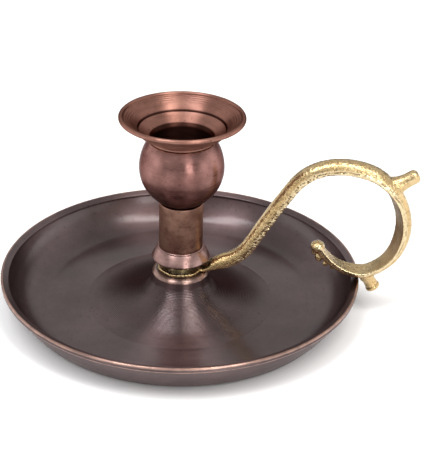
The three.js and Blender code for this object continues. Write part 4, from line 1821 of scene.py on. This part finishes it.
@dataclass
class Handle:
    """The cast scroll handle: eye, strap, thumb spur, lower spur and bud end."""

    axis_x: float
    rim_radius: float = 70.0
    rim_top: float = 14.8
    curl_clearance: float = 0.3
    eye_bottom: float = 14.95
    eye_thickness: float = 1.35
    eye_radius: float = 9.05
    eye_overlap: float = 3.0
    eye_bevel: Point = (0.2, 0.25)
    hole_radius: float = 2.75
    strap_width: float = 8.8
    strap_thickness: float = 4.8
    arm_thickness: float = 4.9
    curl_thickness: float = 2.9
    root_width: float = 6.9
    tip_width: float = 4.4
    tip_thickness: float = 3.0
    loop_radius: float = 22.1
    loop_inset: float = 5.7
    arm_foot: float = 19.0
    arm_lean: float = 60.0
    spur_length: float = 10.9
    spur_radius: float = 2.75
    spur_round: float = 1.8
    spur_angle: float = 33.0
    spur_place: Point = (44.0, 0.975)
    drop_length: float = 6.4
    drop_sunk: float = 1.6
    drop_radius: float = 2.3
    drop_knob: float = 2.9
    drop_round: Point = (0.9, 1.1)
    drop_angle: float = -60.0
    drop_place: Point = (-70.5, 1.06)
    bud_radius: float = 2.6
    twist: float = 16.0
    voxel: float = 0.255
    seam_breaks: float = 420.0
    seam_wander: float = 260.0
    swell: float = 0.2
    grain: float = 0.22
    pit_depth: float = 0.24
    pit_scale: float = 950.0
    seam_depth: float = 0.2

    STATIONS = 260
    LOOP_SHAPE = (
        (137, 1.165), (116, 1.115), (92, 1.045), (62, 1.0), (26, 0.955), (-8, 0.985),
        (-40, 1.05), (-69, 1.07), (-87, 0.985), (-104, 0.88), (-120.5, 0.785), (-134.5, 0.735),
    )
    LOOP_STEPS = 20
    LINE_STEPS = 60
    FOOT_KNOTS = ((0.04, 0.025), (0.45, 0.14))
    FOOT_RISE = 0.33
    FOOT_TURN = (0.53, 0.8)
    ARM_KNOTS = (0.36, 0.72)
    GROW, SWELL, THIN, FADE = (0.0, 0.08), (0.24, 0.58), (0.7, 0.84), (0.86, 1.0)
    TWIST_IN, TWIST_OUT = (0.5, 0.64), (0.7, 0.86)
    LIFT = (0.04, 0.15)
    FLANGE_SHAPE = ((0.9, -1.0), (0.97, -0.96), (1.0, -0.88), (1.0, -0.5), (0.985, -0.42))
    DOME = (0.0, -0.36, 0.955, 1.36, 0, 180, 36)
    INNER_FACE = (0.0, -0.97)
    PEG_SIDES = 40
    EYE_SIDES = 120
    EYE_WAVE, EYE_WAVES, EYE_PHASE, EYE_SHRINK = 0.16, 7, 0.6, 0.08
    SPUR_SHAPE = (
        (0.0, -1.2), (1.2, -1.2), (1.42, 1.6), (1.2, 3.0), (1.06, 4.4), (1.0, 6.0), (0.99, 8.0),
    )
    DROP_START = -0.5
    DROP_FOOT = 1.35
    DROP_SHAPE = ((1.3, 0.3), (1.05, 0.5))
    DROP_END = 0.2
    BUD_STRETCH = Vector((1.08, 1.1, 0.92))
    NECK_SHIFT, NECK_SHARE, NECK_STRETCH = 0.3, 0.68, Vector((0.95, 1.0, 1.2))
    BEADS = ((-131.0, 0.85, 1.15), (-121.0, 0.89, 1.2), (-112.0, 0.935, 1.1), (-103.5, 0.965, 0.9))
    BEAD_STRETCH = Vector((1.0, 1.15, 1.0))
    SOFT_SHARE, SOFT_ROUNDS = 0.5, 5
    ON_STRAP, STRAP_START = (1.15, 1.5), (0.05, 0.09)
    FACING_IN, INNER_IN, INNER_OUT = (0.55, 0.9), (0.45, 0.6), (0.72, 0.86)
    FLANGE, FLANGE_TOP = (0.86, 0.98), (-0.35, 0.15)
    SEAM_HEIGHT, SEAM_WAVE, SEAM_HALF, SEAM_BREAK = 0.4, 0.3, 0.2, (-0.25, 0.35)
    ARM_IN, ARM_OUT, BELOW, LEAST_ROUGH = (0.08, 0.2), (0.42, 0.52), (-0.1, 0.5), 0.3

    def _about_centre(self, angle: float, share: float) -> Vector:
        """Return a point of the loop, as seen from the loop's centre."""
        return heading(angle) * self.loop_radius * share

    def _centre(self) -> Vector:
        """Where the loop's centre lies, so that the curl clears the dish's lip.

        Returns:
            The centre, with X from the dish's axis.
        """
        knots = [self._about_centre(*point) for point in self.LOOP_SHAPE]
        lowest = min(point.z for point in self._curve(knots, self.LOOP_STEPS))
        height = self.rim_top + self.curl_clearance + self.curl_thickness / 2 - lowest
        return Vector((self.rim_radius - self.loop_inset, 0.0, height))

    def _on_loop(self, angle: float, share: float) -> Vector:
        """Return a point of the loop, with X from the dish's axis."""
        return self._about_centre(angle, share) + self._centre()

    @staticmethod
    def _curve(points: Sequence[Vector], steps: int) -> list[Vector]:
        """A smooth line through points, its speed set by the square root of their distances.

        Args:
            points: Points that it passes through.
            steps: Steps between two points.

        Returns:
            Points of the line.
        """
        padded = [points[0] * 2 - points[1], *points, points[-1] * 2 - points[-2]]
        line = []
        for p0, p1, p2, p3 in zip(padded, padded[1:], padded[2:], padded[3:]):
            d0, d1, d2 = (math.sqrt((b - a).length) for a, b in ((p0, p1), (p1, p2), (p2, p3)))
            out = ((p1 - p0) / d0 - (p2 - p0) / (d0 + d1) + (p2 - p1) / d1) * d1
            into = ((p2 - p1) / d1 - (p3 - p1) / (d1 + d2) + (p3 - p2) / d2) * d1
            rest = p1 * -3 + p2 * 3 - out * 2 - into
            bend = p1 * 2 - p2 * 2 + out + into
            for t in (i / steps for i in range(steps)):
                line.append(p1 + out * t + rest * t**2 + bend * t**3)
        return [*line, points[-1]]

    def centreline(self) -> list[Vector]:
        """The strap's centreline at even distances, from the eye to the bud.

        Returns:
            Points with X from the dish's axis.
        """
        middle = self.eye_bottom + self.eye_thickness / 2
        loop = [self._on_loop(*point) for point in self.LOOP_SHAPE]
        foot = self.arm_foot - self.eye_radius
        out, up = self.FOOT_TURN
        turn = Vector((self.arm_foot + foot * out, 0.0, middle + foot * up))
        lean = heading(self.arm_lean)
        rise = (loop[0].z - turn.z) / lean.z
        arm = [
            (turn + lean * rise * share).lerp(turn.lerp(loop[0], share), 0.5)
            for share in self.ARM_KNOTS
        ]
        bends = [(self.eye_radius, *knot) for knot in self.FOOT_KNOTS]
        bends.append((self.arm_foot, 0.0, self.FOOT_RISE))
        knots = [
            Vector((self.eye_radius - self.eye_overlap, 0.0, middle)),
            *(Vector((x + foot * a, 0.0, middle + foot * b)) for x, a, b in bends), turn, *arm,
            *loop,
        ]
        return evenly(self._curve(knots, self.LINE_STEPS), self.STATIONS)

    def strap_size(self, share: float) -> Point:
        """Width and thickness of the strap, from 0 at the eye to 1 at the bud.

        Args:
            share: Place along the strap.

        Returns:
            Width and thickness.
        """
        stages = (self.GROW, self.SWELL, self.THIN, self.FADE)
        grow, swell, thin, fade = (smoothstep(share, *stage) for stage in stages)
        width = mixed(mixed(self.root_width, self.strap_width, swell), self.tip_width, fade)
        arm = mixed(self.eye_thickness, self.arm_thickness, grow)
        grip = mixed(arm, self.strap_thickness, swell)
        return width, mixed(mixed(grip, self.curl_thickness, thin), self.tip_thickness, fade)

    def section(self) -> list[Point]:
        """The strap's section within a unit square: flat inner face, thin flange, domed outer face.

        Returns:
            Points across and outwards, each from -1 to 1.
        """
        mirrored = [(-across, out) for across, out in self.FLANGE_SHAPE]
        inner = [mirrored[0], self.INNER_FACE]
        return [*inner, *self.FLANGE_SHAPE, *arc(*self.DOME), *mirrored[:0:-1]]

    def directions(self, line: Sequence[Vector], i: int) -> tuple[Vector, Vector]:
        """Directions of the strap's section at one station.

        Args:
            line: The centreline.
            i: Number of the station.

        Returns:
            The ways out of the loop and across the strap, both turned by the casting's twist.
        """
        last = len(line) - 1
        along = (line[min(i + 1, last)] - line[max(i - 1, 0)]).normalized()
        twist = math.radians(self.twist) * smoothstep(i / last, *self.TWIST_IN)
        twist *= 1.0 - smoothstep(i / last, *self.TWIST_OUT)
        cos, sin = math.cos(twist), math.sin(twist)
        out, across = Vector((-along.z, 0.0, along.x)), Vector((0.0, 1.0, 0.0))
        return out * cos + across * sin, across * cos - out * sin

    def strap(self, tree: StrapTree, finish: Material) -> Mesh:
        """Carry the section along the centreline.

        Args:
            tree: The strap tree.
            finish: The handle's material.

        Returns:
            A closed mesh, in metres.
        """
        line, section = self.centreline(), self.section()
        places, outward, aside, widths, thicks = [], [], [], [], []
        last = len(line) - 1
        for i, point in enumerate(line):
            out, across = self.directions(line, i)
            width, thick = self.strap_size(i / last)
            settled = 1.0 - smoothstep(i / last, *self.LIFT)
            middle = point + out * ((thick - self.eye_thickness) / 2 * settled)
            ended = 0.0 if i in (0, last) else 1.0
            places.append(((middle.x + self.axis_x) * MM, 0.0, middle.z * MM))
            outward += list(out)
            aside += list(across)
            widths.append(width / 2 * MM * ended)
            thicks.append(thick / 2 * MM * ended)
        places += [(across, 0.0, out) for across, out in section]
        mesh = bpy.data.meshes.new("strap_lines")
        mesh.from_pydata(places, [], [])
        spare = [0.0] * len(section)
        store(mesh, "half_width", widths + spare)
        store(mesh, "half_thick", thicks + spare)
        store(mesh, "outward", outward + spare * 3, "FLOAT_VECTOR")
        store(mesh, "aside", aside + spare * 3, "FLOAT_VECTOR")
        values = {"Stations": len(line), "Section Points": len(section), "Finish": finish}
        return tree.run(mesh, values, "strap")

    def _peg(
        self, mesh: Build, profile: Sequence[Point], origin: Vector, angle: float
    ) -> None:
        """Add a round peg that lies in the handle's plane.

        Args:
            mesh: Mesh that gets it.
            profile: Radius and distance along it, starting and ending on its axis.
            origin: Where it starts, with X from the dish's axis.
            angle: Its angle above the table.
        """
        along, aside = heading(angle), Vector((0, 1, 0))
        up = Vector((-along.z, 0, along.x))
        base = origin + Vector((self.axis_x, 0, 0))
        rings = []
        for radius, distance in profile:
            middle = base + along * distance
            ways = (up * math.cos(t) + aside * math.sin(t) for t in around(self.PEG_SIDES))
            rings.append([(middle + way * radius) * MM for way in ways])
        add_rings(mesh, rings, closed=False)

    def _lump(
        self, mesh: Build, centre: Vector, radius: float, stretch: Vector
    ) -> None:
        """Add a rounded lump.

        Args:
            mesh: Mesh that gets it.
            centre: Its centre, with X from the dish's axis.
            radius: Its radius.
            stretch: How far it is stretched along each axis.
        """
        place = Matrix.Translation((centre + Vector((self.axis_x, 0, 0))) * MM)
        place = place @ Matrix.Diagonal((*stretch, 1.0))
        bmesh.ops.create_icosphere(mesh, subdivisions=3, radius=radius * MM, matrix=place)

    def _eye(self, mesh: Build) -> None:
        """Add the flat eye, its edge slightly uneven as if filed by hand.

        Args:
            mesh: Mesh that gets it.
        """
        low, high = self.eye_bottom, self.eye_bottom + self.eye_thickness
        wide, (inset, bevel) = self.eye_radius, self.eye_bevel
        profile = [
            (self.hole_radius, low), (wide - inset, low), (wide, low + bevel), (wide, high - bevel),
            (wide - inset, high), (self.hole_radius, high),
        ]
        rings = []
        for radius, height in profile:
            ring = []
            for angle in around(self.EYE_SIDES):
                wave = math.cos(self.EYE_WAVES * angle + self.EYE_PHASE)
                uneven = self.EYE_WAVE * wave - self.EYE_SHRINK
                reach = radius + (uneven if radius > self.hole_radius else 0.0)
                x, y = self.axis_x + reach * math.cos(angle), reach * math.sin(angle)
                ring.append(Vector((x, y, height)) * MM)
            rings.append(ring)
        add_rings(mesh, rings, closed=True)

    def _spurs(self, mesh: Build) -> None:
        """Add the thumb spur and the lower spur.

        Args:
            mesh: Mesh that gets them.
        """
        r, end, size = self.spur_radius, self.spur_length, self.spur_round
        spur = [
            *((r * share, distance) for share, distance in self.SPUR_SHAPE),
            *arc(r - size, end - size, size, size, 0, 90, 8), (0.0, end),
        ]
        self._peg(mesh, spur, self._on_loop(*self.spur_place), self.spur_angle)
        r, end = self.drop_radius, self.drop_length + self.drop_sunk
        wide, high = self.drop_round
        drop = [
            (0.0, self.DROP_START), (r * self.DROP_FOOT, self.DROP_START),
            *((r * share, end * distance) for share, distance in self.DROP_SHAPE),
            *arc(self.drop_knob - wide, end - wide, wide, high, -50, 90, 10),
            (0.0, end + self.DROP_END),
        ]
        self._peg(mesh, drop, self._on_loop(*self.drop_place), self.drop_angle)

    def _bud(self, mesh: Build) -> None:
        """Add the bud at the curl's end, with its neck and its row of beads.

        Args:
            mesh: Mesh that gets them.
        """
        tip, near = self.LOOP_SHAPE[-1], self.LOOP_SHAPE[-2]
        self._lump(mesh, self._on_loop(tip[0] + 1, tip[1]), self.bud_radius, self.BUD_STRETCH)
        under = self._on_loop(near[0], near[1] + self.curl_thickness / 2 / self.loop_radius)
        neck = under - Vector((self.bud_radius * self.NECK_SHIFT, 0, 0))
        self._lump(mesh, neck, self.bud_radius * self.NECK_SHARE, self.NECK_STRETCH)
        for angle, reach, size in self.BEADS:
            self._lump(mesh, self._on_loop(angle, reach), size, self.BEAD_STRETCH)

    def _form(self, strap: Mesh) -> Mesh:
        """Join eye, strap, spurs and bud, and melt them together.

        Args:
            strap: The strap's mesh.

        Returns:
            One closed, softly blended mesh.
        """
        mesh = bmesh.new()
        mesh.from_mesh(strap)
        bpy.data.meshes.remove(strap)
        self._eye(mesh)
        self._spurs(mesh)
        self._bud(mesh)
        carrier = linked("handle_form", from_bmesh(mesh, "handle_form"))
        melt = carrier.modifiers.new("melt", "REMESH")
        melt.mode = "VOXEL"
        melt.voxel_size = self.voxel * MM
        soften = carrier.modifiers.new("soften", "SMOOTH")
        soften.factor = self.SOFT_SHARE
        soften.iterations = self.SOFT_ROUNDS
        return plain_mesh(carrier, "handle_form")

    def _mark(self, mesh: Mesh) -> None:
        """Store where each vertex lies on the strap: side, inner, seam and rough.

        Args:
            mesh: The melted form.
        """
        line = self.centreline()
        last = len(line) - 1
        tree = KDTree(len(line))
        for i, point in enumerate(line):
            tree.insert(Vector(((point.x + self.axis_x) * MM, 0.0, point.z * MM)), i)
        tree.balance()
        columns: dict[str, list[float]] = {"side": [], "inner": [], "seam": [], "rough": []}
        for vertex in mesh.vertices:
            spot = vertex.co
            centre, i, _ = tree.find(Vector((spot.x, 0.0, spot.z)))
            share = i / last
            out, aside = self.directions(line, i)
            width, thick = self.strap_size(share)
            across = abs((spot - centre).dot(aside)) / (width / 2 * MM)
            height = (spot - centre).dot(out) / (thick / 2 * MM)
            on_strap = 1.0 - smoothstep(max(abs(height), across), *self.ON_STRAP)
            on_strap *= smoothstep(share, *self.STRAP_START)
            flange = smoothstep(across, *self.FLANGE)
            low = 1.0 - smoothstep(height, *self.FLANGE_TOP)
            columns["side"].append(flange * low * on_strap)
            inner = smoothstep(-vertex.normal.dot(out), *self.FACING_IN)
            inner *= smoothstep(share, *self.INNER_IN)
            columns["inner"].append(inner * (1.0 - smoothstep(share, *self.INNER_OUT)))
            broken, wander = (noise.noise(spot * k) for k in (self.seam_breaks, self.seam_wander))
            off_seam = abs(height + self.SEAM_HEIGHT + wander * self.SEAM_WAVE) / self.SEAM_HALF
            seam = max(0.0, 1.0 - off_seam) * smoothstep(broken, *self.SEAM_BREAK)
            columns["seam"].append(flange * seam * on_strap)
            arm = smoothstep(share, *self.ARM_IN) * (1.0 - smoothstep(share, *self.ARM_OUT))
            below = smoothstep(-height, *self.BELOW)
            columns["rough"].append(max(arm * below, self.LEAST_ROUGH * on_strap))
        for label, values in columns.items():
            store(mesh, label, values)

    def dress(self, strap_tree: StrapTree, skin_tree: CastSkinTree, finish: Material) -> None:
        """Build the handle and put it on the stand.

        Args:
            strap_tree: Geometry tree of the strap.
            skin_tree: Geometry tree of the cast skin.
            finish: The handle's material.
        """
        form = self._form(self.strap(strap_tree, finish))
        self._mark(form)
        values = {"Swell": self.swell * MM, "Grain": self.grain * MM, "Finish": finish}
        values |= {"Pit Depth": self.pit_depth * MM, "Pit Scale": self.pit_scale}
        values["Seam Depth"] = self.seam_depth * MM
        form.materials.clear()
        mesh = skin_tree.run(form, values, "cast_handle")
        attach(linked("cast_handle", mesh), Body.STAND, Slot.BRASS, "handle")


@dataclass(frozen=True)
class SoftBox:
    """A soft box that looks at the candlestick.

    Its side is in degrees to the right of the camera, seen from above, and its height in degrees
    above the table. Its size, width before height, and its distance are in metres.
    """

    name: str
    side: float
    height: float
    size: Point
    watts: float
    tint: tuple[float, float, float]
    distance: float = 3.0

    AIM = Vector((0.0, 0.0, 0.03))

    def hang(self, camera_heading: float) -> None:
        """Hang the lamp.

        Args:
            camera_heading: Degrees from +Y towards +X of the camera.
        """
        data = bpy.data.lights.new(self.name, "AREA")
        data.shape = "RECTANGLE"
        data.size, data.size_y = self.size
        data.energy = self.watts
        data.color = self.tint
        a, e = math.radians(self.side + camera_heading), math.radians(self.height)
        away = Vector((math.sin(a) * math.cos(e), -math.cos(a) * math.cos(e), math.sin(e)))
        place = self.AIM + away * self.distance
        turn = (self.AIM - place).to_track_quat("-Z", "Y").to_matrix().to_4x4()
        linked(self.name, data).matrix_world = Matrix.Translation(place) @ turn


@dataclass
class Studio:
    """Floor, lamps, surroundings and the camera at the photograph's angle.

    Attributes:
        eye: The camera's place in millimetres.
        heading: Degrees from +Y towards +X.
        pitch: Degrees downwards.
        roll: Degrees, right side up.
        focal: Focal length in pixels.
        frame_height: Height of the picture in pixels.
        sensor: Width of the camera's sensor.
        clip: Nearest distance that the camera sees, in metres.
        floor_half: Half the floor's width in metres.
        fill: Strength of the world's even light.
    """

    eye: tuple[float, float, float] = (21.36, -427.16, 263.74)
    heading: float = -2.167
    pitch: float = 28.793
    roll: float = 1.7
    focal: float = 1256.9
    frame_height: float = 476.0
    sensor: float = 36.0
    clip: float = 0.01
    floor_half: float = 3.0
    fill: float = 0.75

    LAMPS = (
        SoftBox("soft_box_right", 50.0, 63.0, (0.8, 2.0), watts=46.0, tint=(1.0, 0.98, 0.95)),
        SoftBox("soft_box_left", -46.0, 64.0, (0.8, 2.0), watts=46.0, tint=(0.97, 0.97, 1.0)),
        SoftBox("soft_box_low", 27.0, 11.0, (0.9, 1.0), watts=19.0, tint=(1.0, 0.99, 0.97)),
    )
    FLOOR_CLOUDS = 6.0
    FLOOR_TONE = (0.2, 0.8, 0.9, 0.93)
    FLOOR_ROUGHNESS = 0.9
    BEHIND = (-0.75, 0.35, 0.55, 1.0)
    ABOVE = (0.5, 0.95, 1.0, 0.6)
    LOW = (0.18, 0.5, 0.08, 1.0)
    AHEAD, AHEAD_TOP = (-0.45, -0.8), (0.72, 0.9, 0.9, 0.0)
    BESIDE = (0.66, 0.93, 0.0, 2.2)
    BAND_FOOT, BAND_TOP = (-0.08, 0.02), (0.12, 0.45, 1.0, 0.0)

    def camera(self) -> None:
        """Make the scene's camera."""
        h, p, s = (math.radians(angle) for angle in (self.heading, self.pitch, self.roll))
        ahead = Vector((math.sin(h) * math.cos(p), math.cos(h) * math.cos(p), -math.sin(p)))
        level = Vector((math.cos(h), -math.sin(h), 0.0))
        top = level.cross(ahead)
        right = level * math.cos(s) + top * math.sin(s)
        up = top * math.cos(s) - level * math.sin(s)
        data = bpy.data.cameras.new("photo_camera")
        data.sensor_width = self.sensor
        data.lens = self.focal * self.sensor / self.frame_height
        data.clip_start = self.clip
        camera = linked("photo_camera", data)
        turn = Matrix((right, up, -ahead)).transposed().to_4x4()
        camera.matrix_world = Matrix.Translation(Vector(self.eye) * MM) @ turn
        bpy.context.scene.camera = camera

    def floor(self) -> None:
        """Make the pale floor, with a soft shade of its own."""
        half = self.floor_half
        corners = [(-half, -half, 0), (half, -half, 0), (half, half, 0), (-half, half, 0)]
        data = bpy.data.meshes.new("pale_floor")
        data.from_pydata(corners, [], [(0, 1, 2, 3)])
        finish = Finish("pale_floor")
        g = finish.graph
        tone = g.ramp(g.noise(g.spot(), self.FLOOR_CLOUDS, 1.0), *self.FLOOR_TONE)
        look = {"Base Color": g.grey(tone), "Roughness": self.FLOOR_ROUGHNESS}
        finish.fill({**look, "Specular IOR Level": 0.0})
        data.materials.append(finish.material)
        linked("pale_floor", data)

    def surroundings(self) -> None:
        """Make the world: white to the camera, paler behind than in front to polished metal."""
        world = bpy.data.worlds.new("studio")
        world.use_nodes = True
        bpy.context.scene.world = world
        world.node_tree.nodes.clear()
        g = Graph(world.node_tree)
        path = g.signals(g.add("ShaderNodeLightPath"))
        x, y, z = g.separate(g.out("ShaderNodeTexCoord", None, "Generated"))
        ahead = g.ramp(y, *self.AHEAD) * g.ramp(z, *self.AHEAD_TOP)
        sky = g.ramp(y, *self.BEHIND) * g.ramp(z, *self.ABOVE) + ahead
        band = g.ramp(z, *self.BAND_FOOT) * g.ramp(z, *self.BAND_TOP)
        beside = g.ramp(g.math("ABSOLUTE", x), *self.BESIDE)
        tone = g.grey(sky * g.ramp(z, *self.LOW) + beside * band)
        fill, shine, white = (
            g.out("ShaderNodeBackground", {"Color": colour, "Strength": strength})
            for colour, strength in ((WHITE, self.fill), (tone, 1.0), (WHITE, 1.0))
        )
        polished = g.out("ShaderNodeMixShader", {0: path["Is Glossy Ray"], 1: fill, 2: shine})
        clear = g.math("MAXIMUM", path["Is Camera Ray"], path["Is Transmission Ray"])
        seen = g.out("ShaderNodeMixShader", {0: clear, 1: polished, 2: white})
        g.add("ShaderNodeOutputWorld", {"Surface": seen})

    def build(self) -> None:
        """Set up the whole studio."""
        bpy.context.scene.view_settings.view_transform = "Standard"
        self.floor()
        self.surroundings()
        for lamp in self.LAMPS:
            lamp.hang(self.heading)
        self.camera()


def main() -> None:
    """Build the candlestick piece by piece, then the studio."""
    logging.basicConfig(level=logging.INFO, format="%(name)s: %(message)s")
    low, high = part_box("drip_pan")
    axis = Vector(((low.x + high.x) / 2, (low.y + high.y) / 2, 0.0))
    groups = ShaderGroups()
    coppers = (DARK_COPPER, PINK_COPPER, RED_COPPER, POLISHED_COPPER, BROWN_COPPER)
    dark, pink, red, polished, brown = (copper.make(groups, axis) for copper in coppers)
    brass, steel = BRASS.make(groups), STEEL.make(groups, axis)
    lathe = Lathe(axis, TurnedTree())
    Dish(rim_radius=(high.x - low.x) / 2 / MM, platform_top=high.z / MM).dress(lathe, dark)
    Stem().dress(lathe, pink, brown, steel)
    Socket().dress(lathe, red, polished)
    Fixings().dress(lathe, steel)
    Handle(axis.x / MM).dress(StrapTree(), CastSkinTree(), brass)
    Studio().build()


if __name__ == "__main__":
    main()
